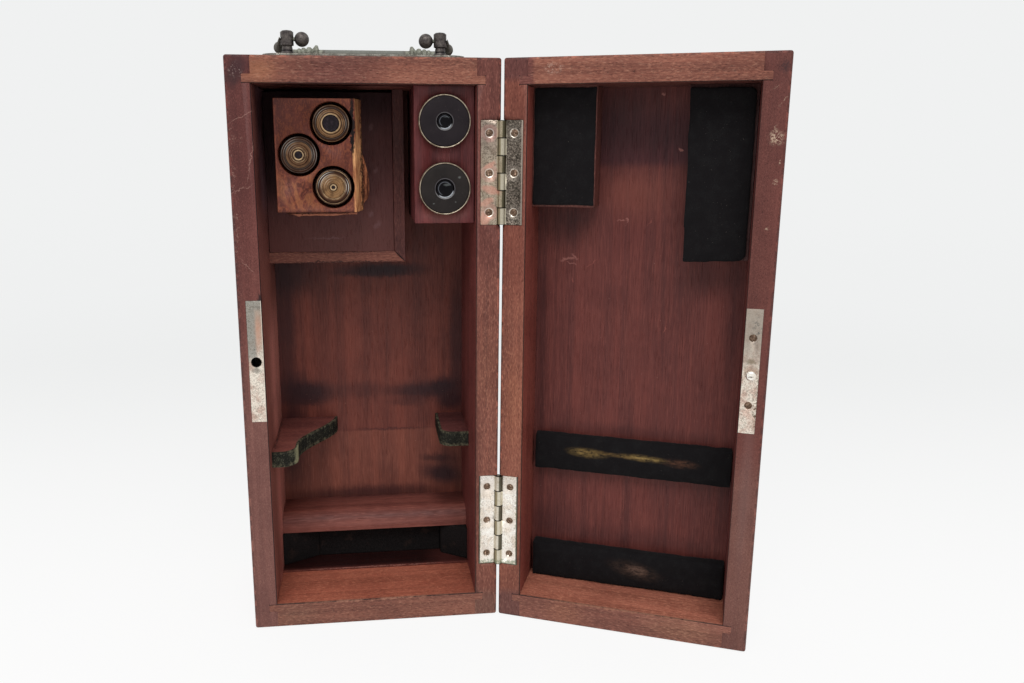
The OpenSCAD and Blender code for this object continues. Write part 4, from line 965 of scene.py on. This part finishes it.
dress("catch_stud", "headed_stud", door_half, "pitted_nickel", stud.close(0.05, 1.0), 0.2, 0, 0.2, 40)


def film(name, place, size, start, harsh, low, high, tone, stained, rough, more):
    """A plain metal with a film of a second tone."""
    coat = Coat(name, place, 1.0)
    cover = coat.cloud(size, 4, start, harsh)
    coat.colour = coat.blend(cover.fade(low, high), tone, stained)
    coat.rough = rough + more * cover
    coat.height = cover
    return coat


lock_tones = (paint(204, 176, 116), paint(140, 112, 72))
brass_film = film("lock_brass", case_half, 4, 61, 0.65, 0.35, 0.7, *lock_tones, 0.3, 0.3)
brass_finish = brass_film.close(0.05, 1.0)
dress("keyhole_escutcheon", "keyhole_plate", case_half, "brass", brass_finish, 0.2, 0, 2, 40)
rusty = film("lock_iron", case_half, 3, 71, 0.7, 0.42, 0.66, paint(92, 88, 84), paint(84, 58, 44), 0.45, 0.3)
iron_finish = rusty.close(0.08, 0.8)
dress("lock_case", "lock_box", case_half, "iron", iron_finish, 0.3, 0, 5)
bolt_place = dict(case_half, body="bolt")
dress("lock_bolt", "forked_bolt", bolt_place, "iron", iron_finish, 0.2, 0, 3)
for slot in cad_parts["lock_spring"].material_slots:
    slot.material = iron_finish


# The hinges
# Two butt hinges of plated iron are let in flush. The upper one is coloured darker, partly dulled plate and partly
# painted shade, its door leaf darkest; the lower one is still pale, with green at its edges. Three slotted screws
# hold each leaf.
leaf_middle = 79.9
screw_gap = 25.75
knuckle = 11.333
leaf_height = 68
upper_hinge = 322
lower_hinge = 75.3


def leaf_finish(name, place, tone, stained, height, ring, pits, start, rough, knuckles):
    """Nickel with a halo and a bright rim round each screw, seams between the knuckles, and painted light and shade
    on the knuckles, pale towards the leaf and dark on the far side.
    """
    coat = plated(name, place, tone, stained, pits, rough, start)
    side = leaf_middle if place is case_half else -leaf_middle
    for step in (-screw_gap, 0, screw_gap):
        coat.lay(coat.patch((side, 0, height + step), (6.4, 9, 6.4), 0.2) * 0.55, ring)
        edge = coat.patch((side, 0, height + step), (3.3, 9, 3.3), 0.18, 0, True)
        coat.lay(edge * 0.85, paint(228, 216, 202), 0.25)
    lap = ((coat.z - height + leaf_height) / knuckle).fraction()
    if place is case_half:
        inner = coat.x.fade(84.7, 85.2)
        # Painted light and shade on the case leaf's knuckles: their tone towards the leaf, painted shade on the side
        # that turns away.
        coat.lay(inner * 0.5, coat.times(knuckles, 0.75, 0.72, 0.62))
        coat.lay(coat.x.fade(87.6, 88.4) * 0.9, paint(74, 70, 52))
    else:
        inner = coat.x.fade(-84.7, -85.2)
        # Painted light and shade on the door leaf's knuckles: their tone towards the leaf, darker on the side that
        # turns away, and painted shade beyond.
        coat.lay(inner * 0.85, knuckles)
        coat.lay(coat.x.fade(-88.0, -88.6) * 0.9, coat.times(knuckles, 0.5, 0.46, 0.36))
        coat.lay(coat.x.fade(-90.2, -90.7) * 0.9, paint(34, 28, 22))
    coat.lay(inner * (lap.fade(0.05, 0.02) | lap.fade(0.95, 0.98)) * 0.9, paint(22, 18, 15), 0.7)
    return coat


# The upper hinge's tones are darker than the lower's: partly dulled plate, partly painted shade.
leaf = leaf_finish("upper_case_leaf_nickel", case_half, paint(176, 162, 144), paint(142, 126, 110), upper_hinge,
                   paint(196, 156, 142), 0.75, 43.0, 0.36, paint(186, 178, 156))
for spot, reach, lean in (
    ((80, 0, 327), (6, 9, 2.2), -25),
    ((81, 0, 311), (9, 9, 3.4), 18),
    ((78, 0, 303), (7, 9, 3), -25),
    ((77, 0, 292), (5, 9, 6), 20),
):
    leaf.mark(0.7, (208, 156, 138), spot, reach, 0.5, lean)
# Painted shade: the upper part of the leaf darker.
leaf.tint(leaf.z.fade(326, 344) * leaf.x.fade(85, 84), (0.72, 0.7, 0.74))
dress("upper_hinge_case_leaf", "upper_case_hinge_leaf", case_half, "pitted_nickel", leaf.close(0.08, 1.0), 0.2, 0, 3)
leaf = leaf_finish("upper_door_leaf_nickel", door_half, paint(116, 106, 97), paint(88, 81, 73), upper_hinge,
                   paint(136, 126, 116), 1.2, 53.0, 0.42, paint(196, 188, 168))
pepper = leaf.cloud(1.25, 3, 143, 0.8)
flat = leaf.x.fade(-85.4, -84.9)
leaf.lay(pepper.fade(0.5, 0.42) * flat * 0.65, paint(38, 36, 31), 0.6)
leaf.lay(pepper.fade(0.56, 0.66) * flat * 0.7, paint(176, 166, 150))
leaf.lay(leaf.x.fade(-75.4, -74.9) * 0.7, paint(170, 158, 146))
dress("upper_hinge_door_leaf", "upper_door_hinge_leaf", door_half, "dark_nickel", leaf.close(0.1, 1.0), 0.2, 0, 3)
for half, place, start, side in (("case", case_half, 63.0, 75.2), ("door", door_half, 73.0, -75.2)):
    name = "lower_" + half + "_hinge_leaf"
    leaf = leaf_finish(name + "_nickel", place, paint(255, 249, 240), paint(238, 226, 212), lower_hinge,
                       paint(244, 234, 222), 0.4, start, 0.36, paint(206, 198, 176))
    green = leaf.patch((side, 0, lower_hinge), (1.6, 9, 38)) * leaf.cloud(3, 4, 5, 0.7).fade(0.45, 0.6)
    ragged = 0.9 * leaf.cloud(1.5, 4, 9 + start, 0.8)
    border = (abs(leaf.x) - ragged).fade(74.9, 74.4) | (leaf.z + ragged).fade(42.6, 42.0)
    leaf.lay(border * 0.85, paint(44, 42, 26), 0.8)
    foot = (leaf.z - 2.2 * ragged).fade(44.6, 42.4) * ragged.fade(0.36, 0.5)
    leaf.lay(foot * 0.7, paint(138, 150, 126), 0.8)
    leaf.lay(green * 0.6, paint(142, 140, 112), 0.8)
    # Painted shade: the leaf darker towards the top.
    leaf.tint(leaf.z.fade(92, 108) * 0.6, (0.72, 0.7, 0.7))
    dress("lower_hinge_" + half + "_leaf", name, place, "pitted_nickel", leaf.close(0.08, 1.0), 0.2, 0, 3)
pin_steel = plated("hinge_pin_steel", case_half, paint(150, 140, 126), paint(112, 104, 92), 0.5, 0.4, 83.0)
dress("hinge_pins", "hinge_pin_pair", case_half, "pitted_nickel", pin_steel.close(0.05, 1.0), 0, 0, 5, 40)
screw_tones = (0.4, 0.62, paint(176, 150, 130), paint(118, 94, 78), 0.38, 0.2)
case_screws = film("case_screw_bronze", case_half, 1.4, 3.0, 0.7, *screw_tones).close(0.06, 1.0)
door_screws = film("door_screw_bronze", door_half, 1.4, 9.0, 0.7, *screw_tones).close(0.06, 1.0)
for node, name, place, bronze in (
    ("case_hinge_screws", "case_leaf_screws", case_half, case_screws),
    ("door_hinge_screws", "door_leaf_screws", door_half, door_screws),
    ("catch_screws", "stud_plate_screws", door_half, door_screws),
):
    dress(node, name, place, "dark_bronze", bronze, 0.12, 0, 3, 40)


# The handle
# A drop handle on the top: a plate with rounded ends, two turned posts screwed down through it, and a bail that
# swings between them. The posts and ball ends are dark bronze, and the bail has gone a pale grey green.
plate_coat = plated("handle_plate_nickel", case_half, paint(150, 146, 138), paint(110, 106, 98), 0.6, 0.45, 93.0)
dress("handle_plate", "handle_base_plate", case_half, "dark_nickel", plate_coat.close(0.08, 1.0), 0.5, 0, 2, 40)
bronze = film("dark_bronze", case_half, 3, 13, 0.7, 0.35, 0.7, paint(66, 60, 60), paint(112, 105, 100), 0.42, 0.2)
fine = bronze.cloud(0.8, 3, 43, 0.7)
bronze.lay(fine.fade(0.58, 0.7) * 0.6, paint(36, 32, 34))
collars = [bronze.patch((side, 22, 399.6), (9, 9, 0.6), 0.4, 0, True) for side in (-49.6, 49.6)]
bronze.lay(collars[0] | collars[1], paint(20, 18, 20))
bronze.height = bronze.height + 0.5 * fine
bronze_finish = bronze.close(0.12, 0.85)
dress("handle_posts", "turned_posts", case_half, "dark_bronze", bronze_finish, 0, 0, 3, 32)
dress("handle_nuts", "post_nuts", case_half, "brass", brass_finish, 0.3, 0, 1)
bail_place = dict(case_half, body="handle")
dress("handle_finials", "ball_ends", bail_place, "dark_bronze", bronze_finish, 0, 0, 3, 32)
bail_end = 53.9
bail_bend = 31
knop = Vector((56.4, 34.7, 404.2))


def by_point(move):
    """A way of carving that moves each vertex by a rule in the half's own millimetres."""
    def carve(shape, back):
        forth = back.inverted()
        for vertex in shape.verts:
            vertex.co = forth @ move(back @ vertex.co)
    return carve


@by_point
def slim_ends(spot):
    """Flattens the bail's ends against the posts, where they turn on their pins."""
    side = math.copysign(1, spot.x)
    if abs(spot.x) > bail_end and spot.y < bail_bend:
        share = held((bail_bend - spot.y) / 5)
        spot.x = side * (bail_end + (abs(spot.x) - bail_end) * (1 - 0.85 * share))
        middle = 406.7 - (spot.y - 22) * 0.2
        spot.z = middle + (spot.z - middle) * (1 - 0.6 * share)
    sink = held((8 - (Vector((abs(spot.x), spot.y, spot.z)) - knop).length) / 3.4)
    spot.z -= 1.5 * sink
    spot.x -= side * 0.8 * sink
    return spot


bail = Coat("verdigris_bail", case_half, 1.0)
crust = bail.cloud(2.2, 5, 17, 0.75)
grime = bail.cloud(0.7, 3, 37, 0.7)
bail.colour = bail.blend(crust.fade(0.36, 0.64), paint(112, 112, 102), paint(164, 166, 152))
arms = abs(bail.x).fade(46, 51) | abs(bail.x).fade(29.5, 27)
bail.lay(arms * 0.85, bail.blend(crust, paint(60, 56, 54), paint(116, 110, 104)))
bail.lay(abs(bail.x).fade(27.5, 26) * 0.8, bail.blend(crust, paint(104, 106, 100), paint(150, 152, 144)))
bail.lay(grime.fade(0.56, 0.7) * 0.7, paint(78, 76, 68))
bail.rough = 0.6 + 0.2 * crust
bail.height = crust + 0.5 * grime
dress("handle_bail", "swinging_bail", bail_place, "verdigris_brass", bail.close(0.15, 0.35), 0, 0, 3, 32, slim_ends)


# The four boards of the door
# The door is a shallower twin of the case: two sides, a top and a bottom board, tongued and glued, with the same
# sawn front edges. It has had more knocks.
hinge = wood("hinge_side_wood", door_half, "z", (150, 92, 75), (124, 73, 60), 303.0, face=(146, 76, 66))
rim = hinge.y.fade(3, 1)
hinge.tint(hinge.z.fade(212, 262) * rim, (0.74, 0.64, 0.65))
hinge.tint(hinge.z.fade(378, 384) * rim, (0.66, 0.72, 0.92))
hinge.tint(hinge.z.fade(24, 16) * rim, (0.68, 0.8, 1))
hinge.shade(0.8, (1.2, 1.25, 1.12), (-79, 0, 165), (12, 3, 48))
hinge.tint(hinge.x.fade(-86.6, -87.2) | hinge.y.fade(49.8, 50.8), (0.72, 0.74, 0.82))
dress("door_hinge_side", "door_hinge_board", door_half, "mahogany", hinge.close(), flat=False)
lock = wood("lock_side_wood", door_half, "z", (126, 84, 75), (104, 68, 61), 323.0, face=(110, 58, 54),
            fleck=(0.6, 0.4), vein=0.2)
lock.tint(lock.z.fade(112, 150) * lock.y.fade(3, 1), (0.77, 0.57, 0.58))
scar = lock.cloud(1.3, 4, 333, 0.8)
lock.mark(scar.fade(0.35, 0.55) * 0.8, (56, 34, 36), (83, 0, 386), (4.6, 20, 5.4), 0.8)
for x, z, wide, high, lean, share in (
    (81.5, 345, 6.5, 6, 0, 0.85),
    (80, 350, 1.0, 6, 30, 0.5),
    (83, 318, 2.0, 2.2, 0, 0.8),
    (80, 290, 2.6, 1.2, 0, 0.5),
    (84.5, 330, 0.6, 1.4, 0, 0.7),
    (84, 366, 0.4, 6, 40, 0.5),
    (79, 374, 0.4, 5, 55, 0.4),
):
    lock.mark(scar.fade(0.48, 0.54) * share, (206, 180, 156), (x, 0, z), (wide, 20, high), 0.9, lean)
lock.mark(0.3, (128, 98, 94), (79, 0, 120), (6, 20, 90))
# Painted shade along the rounded outer edge of the board.
lock.mark(0.45, (72, 48, 48), (87.2, 0, 200), (1.3, 20, 200))
dress("door_lock_side", "door_lock_board", door_half, "mahogany", lock.close(), flat=False)
top = wood("door_top_wood", door_half, "x", (152, 96, 79), (124, 76, 63), 341.0, 0.55, 8, face=(100, 54, 48))
top.tint(top.x.fade(-66, -70) * top.y.fade(3, 1), (0.64, 0.56, 0.68))
top.shade(1, (0.8, 0.76, 0.76), (56, 0.15, 388), (34, 3, 16))
saw_marks(top, 347)
chips = top.cloud(1.6, 5, 351, 0.8).fade(0.5, 0.58)
top.mark(chips * 0.8, (196, 166, 150), (-55, 0.15, 388), (7, 3, 5), 0.8)
dress("door_top", "door_top_board", door_half, "rim_wood", top.close())
# The face tone, brighter than the other boards', is painted light on the board's upward face.
bottom = wood("door_bottom_wood", door_half, "x", (154, 100, 86), (128, 82, 70), 361.0, 0.45, 9, face=(192, 120, 98))
bottom.mark(0.6, (176, 122, 98), (0, 0.15, 18), (74, 2.2, 1.6), 0.8)
bottom.shade(0.7, (1.16, 1.35, 1.2), (44, 0.15, 9), (40, 3, 16))
bottom.shade(0.7, (1.25, 1.28, 1.12), (-38, 0.15, 9), (20, 3, 16))
bottom.tint(bottom.y.fade(49.6, 50.6), (0.6, 0.56, 0.6))
dress("door_bottom", "door_bottom_board", door_half, "rim_wood", bottom.close())


# The panel of the door
# One thin red board closes the door. Painted shade darkens the strip under the top board, the panel between and
# below the pads, and its edges, with painted light under the strip; it is scratched where instruments have met it.
panel = wood("door_panel_wood", door_half, "z", (112, 57, 51), (92, 47, 44), 381.0, 0.12, 9, fleck=(0.05, 0.3),
             vein=0.3)
panel_face = 43
for x, z, wide, high, lean in (
    (-33, 258, 0.5, 6, 50),
    (6, 288, 0.4, 5, 40),
    (-46, 246, 0.4, 3, -20),
    (20, 214, 0.4, 4, 15),
):
    panel.mark(0.6, (150, 84, 74), (x, panel_face, z), (wide, 6, high), 0.6, lean)
panel.lay(panel.cloud(1.0, 2, 411, 0.5, (1, 1, 0.6)).fade(0.74, 0.78) * 0.6, paint(160, 120, 110))
# Painted shade in patches: under the top board, between and below the pads, and along the edges.
for x, z, wide, high, share in (
    (-8, 372, 46, 22, 0.7),
    (-16, 350, 22, 40, 0.75),
    (10, 346, 26, 30, 0.6),
    (-52, 286, 26, 24, 0.7),
    (-40, 292, 22, 14, 0.5),
    (50, 250, 30, 20, 0.6),
    (66, 220, 12, 60, 0.6),
    (-68, 200, 9, 120, 0.5),
    (0, 136, 76, 8, 0.5),
    (0, 52, 80, 14, 0.6),
    (-60, 60, 30, 20, 0.6),
    (69, 90, 10, 60, 0.5),
):
    panel.shade(share, (0.45, 0.4, 0.46), (x, panel_face, z), (wide, 6, high))
# Painted light below the shadow of the top board.
panel.mark(0.25, (150, 84, 68), (-4, panel_face, 306), (34, 6, 24))
# Painted shadow of the top board, with a ragged lower edge.
line = (panel.z + 4 * panel.cloud(9, 4, 437, 0.7)).fade(325, 333) * panel.z.fade(376, 352)
panel.tint(line * panel.y.fade(49, 47), (0.58, 0.56, 0.76))
# Painted shade in the middle of the panel.
panel.shade(0.9, (0.8, 0.74, 0.76), (-6, panel_face, 282), (36, 6, 34))
for x, z, wide, high, lean, share in (
    (11.2, 373, 1.6, 1.3, 0, 0.8),
    (24.6, 337, 2.2, 1.6, 30, 0.8),
    (-13.5, 289, 4.2, 0.5, 0, 0.7),
    (-9.3, 289.4, 0.8, 2.2, 0, 0.6),
    (-50, 261, 7, 1.2, -12, 0.6),
    (-45, 263, 4, 0.8, 40, 0.6),
    (-47, 258, 5, 0.6, 10, 0.6),
):
    panel.mark(share, (158, 104, 96), (x, panel_face, z), (wide, 6, high), 0.6, lean)
dress("door_panel", "door_back_panel", door_half, "red_wood", panel.close(), 0, 0)


# The pads in the door
# Blocks glued to the door's panel meet the instruments when the case is shut. Each carries a pad of black velvet
# over thin wadding. The two upper ones leave their wooden blocks showing.
pad_block = wood("pad_block_wood", door_half, "z", (112, 66, 58), (88, 51, 47), 421.0, 0.3, 9)
dress("eyepiece_pad_block", "eyepiece_pad_base", door_half, "mahogany", pad_block.close(), 0.4, 0.4)
pad_board = wood("pad_board_wood", door_half, "z", (82, 50, 48), (62, 38, 38), 441.0, 0.3, 9)
board_foot = 263
board_right = 71.2
pad_foot = 266.4
pad_head = 376.2
pad_right = 70.2
pad_left = 28.8
pad_corner = 5


@by_point
def trim_board(spot):
    """The longer pad's board stops short of its velvet at the foot and on the left."""
    high = held((spot.z - 262) / 116)
    if spot.z < board_foot:
        spot.z += 4.6
    if spot.x > 68:
        spot.x = board_right
    if spot.x < 29:
        spot.x += 0.6 + 3.6 * (1 - high)
    return spot


dress("objective_pad_board", "objective_pad_base", door_half, "dark_wood", pad_board.close(), 0.4, 0.4,
      carve=trim_board)


@by_point
def skew_pad(spot):
    """The longer pad is cut a little askew and glued higher up its board."""
    high = (spot.z - 263) / 110
    left = (68.9 - spot.x) / 39.8
    spot.z = pad_foot + (pad_head - pad_foot) * high - 2.4 * left * (1 - high)
    right_edge = pad_right - 0.3 * (1 - high)
    spot.x = right_edge + (pad_left + 0.9 * (1 - high) - right_edge) * left
    return spot


@by_point
def round_right(spot):
    """The longer pad's right corners are snipped round."""
    across = pad_corner - (pad_right - spot.x)
    foot = spot.z < 320
    up = pad_corner - (spot.z - pad_foot if foot else pad_head - spot.z)
    if across > 0 and up > 0:
        share = max(across, up) / math.hypot(across, up)
        spot.x -= across * (1 - share)
        spot.z += up * (1 - share) * (1 if foot else -1)
    return spot


def velvet(name, start, worn_spots=()):
    """Black cotton velvet: short pile with a faint nap, dusty, and brown where it has rubbed through."""
    coat = Coat(name, door_half, 2.0)
    pile = coat.cloud(0.55, 4, start, 0.8)
    nap = coat.cloud(7, 4, start + 20, 0.65)
    coat.colour = coat.blend(pile * 0.6 + nap * 0.4, paint(14, 13, 14), paint(37, 35, 37))
    coat.lay(nap.fade(0.45, 0.7) * pile.fade(0.45, 0.7) * 0.35, paint(52, 56, 54))
    coat.lay(coat.cloud(0.9, 2, start + 60).fade(0.74, 0.78) * 0.7, paint(110, 104, 98))
    bare = (coat.cloud(1.7, 4, start + 80, 0.8, (0.35, 1, 1)) + 0.5 * pile).fade(0.55, 0.95)
    for x, y, z, wide, high, lean, share, tone in worn_spots:
        coat.lay(coat.patch((x, y, z), (wide, 14, high), 0.95, lean, True) * bare * share, paint(*tone))
    coat.rough = 0.95
    coat.height = pile + nap
    return coat.close(0.35, Specular_IOR_Level=0.05, Sheen_Weight=0.04, Sheen_Roughness=0.4)


def evaluated(pad):
    """The mesh of a pad as its modifiers leave it."""
    return bpy.data.meshes.new_from_object(pad.evaluated_get(bpy.context.evaluated_depsgraph_get()))


def blow_up(pad, mesh, swell):
    """Blows a pad up as cloth under pressure, and holds it to a small swelling in millimetres."""
    cloth = pad.modifiers.new("velvet", "CLOTH")
    cloth.settings.quality = 4
    cloth.settings.mass = 0.2
    cloth.settings.tension_stiffness = 10
    cloth.settings.compression_stiffness = 10
    cloth.settings.shear_stiffness = 4
    cloth.settings.bending_stiffness = 0.4
    cloth.settings.use_pressure = True
    cloth.settings.uniform_pressure_force = 4
    cloth.settings.effector_weights.gravity = 0
    cloth.point_cache.frame_end = 14
    for step in range(1, cloth.point_cache.frame_end + 1):
        scene.frame_set(step)
    for rest, moved in zip(mesh.vertices, evaluated(pad).vertices):
        way = moved.co - rest.co
        if way.length > swell / 1000:
            way = way.normalized() * swell / 1000
        rest.co += way
    pad.modifiers.clear()
    scene.frame_set(1)


def pillow(node, name, material, pull=0.4, swell=0.7, cell=1.2, trim=None, snip=None):
    """A pad grown from its solid: cut to even cells, waved a little and drawn in, then blown up over its wadding."""
    back = door_half["matrix"].inverted()
    shape = merged(node)
    if trim:
        trim(shape, back)
    pad = bpy.data.objects.new(name + "_form", finished(shape, name))
    scene.collection.objects.link(pad)
    cells = pad.modifiers.new("cells", "REMESH")
    cells.mode = "VOXEL"
    cells.voxel_size = cell / 1000
    mesh = evaluated(pad)
    pad.modifiers.clear()
    wave = bmesh.new()
    wave.from_mesh(mesh)
    axes = {"use_axis_x": True, "use_axis_y": True, "use_axis_z": True}
    for turn in range(3):
        bmesh.ops.smooth_vert(wave, verts=wave.verts[:], factor=0.5, **axes)
    wave.normal_update()
    for vertex in wave.verts:
        swing = noise.noise(vertex.co * 60) * 0.5 + noise.noise(vertex.co * 170) * 0.25
        vertex.co += vertex.normal * (swing - pull) / 1000
    if snip:
        snip(wave, back)
    wave.to_mesh(mesh)
    wave.free()
    pad.data = mesh
    blow_up(pad, mesh, swell)
    scene.collection.objects.unlink(pad)
    piece = place_piece(name, mesh, door_half, material, [node], 180)


pillow("eyepiece_pad_velvet", "eyepiece_pad", velvet("eyepiece_pad_cloth", 3.0), 0.0, 0.6, 0.9)
pillow("objective_pad_velvet", "objective_pad", velvet("objective_pad_cloth", 33.0), 0.3, 0.8, 1.0, skew_pad,
       round_right)
streak = (
    (-30, 34, 120.2, 19, 5, 2, 1.0, (150, 124, 76)),
    (-6, 34, 120.6, 30, 2.2, 2, 0.7, (130, 104, 66)),
    (10, 34, 120.5, 23, 3.4, 2, 1.0, (150, 124, 76)),
    (12, 34, 120.3, 14, 1.6, 2, 0.7, (176, 150, 96)),
    (36, 34, 119, 17, 4.6, 2, 0.8, (104, 72, 56)),
)
pillow("middle_pad", "middle_pillar_pad", velvet("middle_pad_cloth", 63.0, streak))
worn = (
    (8, 32, 33, 26, 9, 10, 0.55, (98, 76, 64)),
    (10, 32, 33.5, 11, 5.5, 10, 0.6, (140, 112, 98)),
)
pillow("bottom_pad", "foot_pad", velvet("bottom_pad_cloth", 93.0, worn))
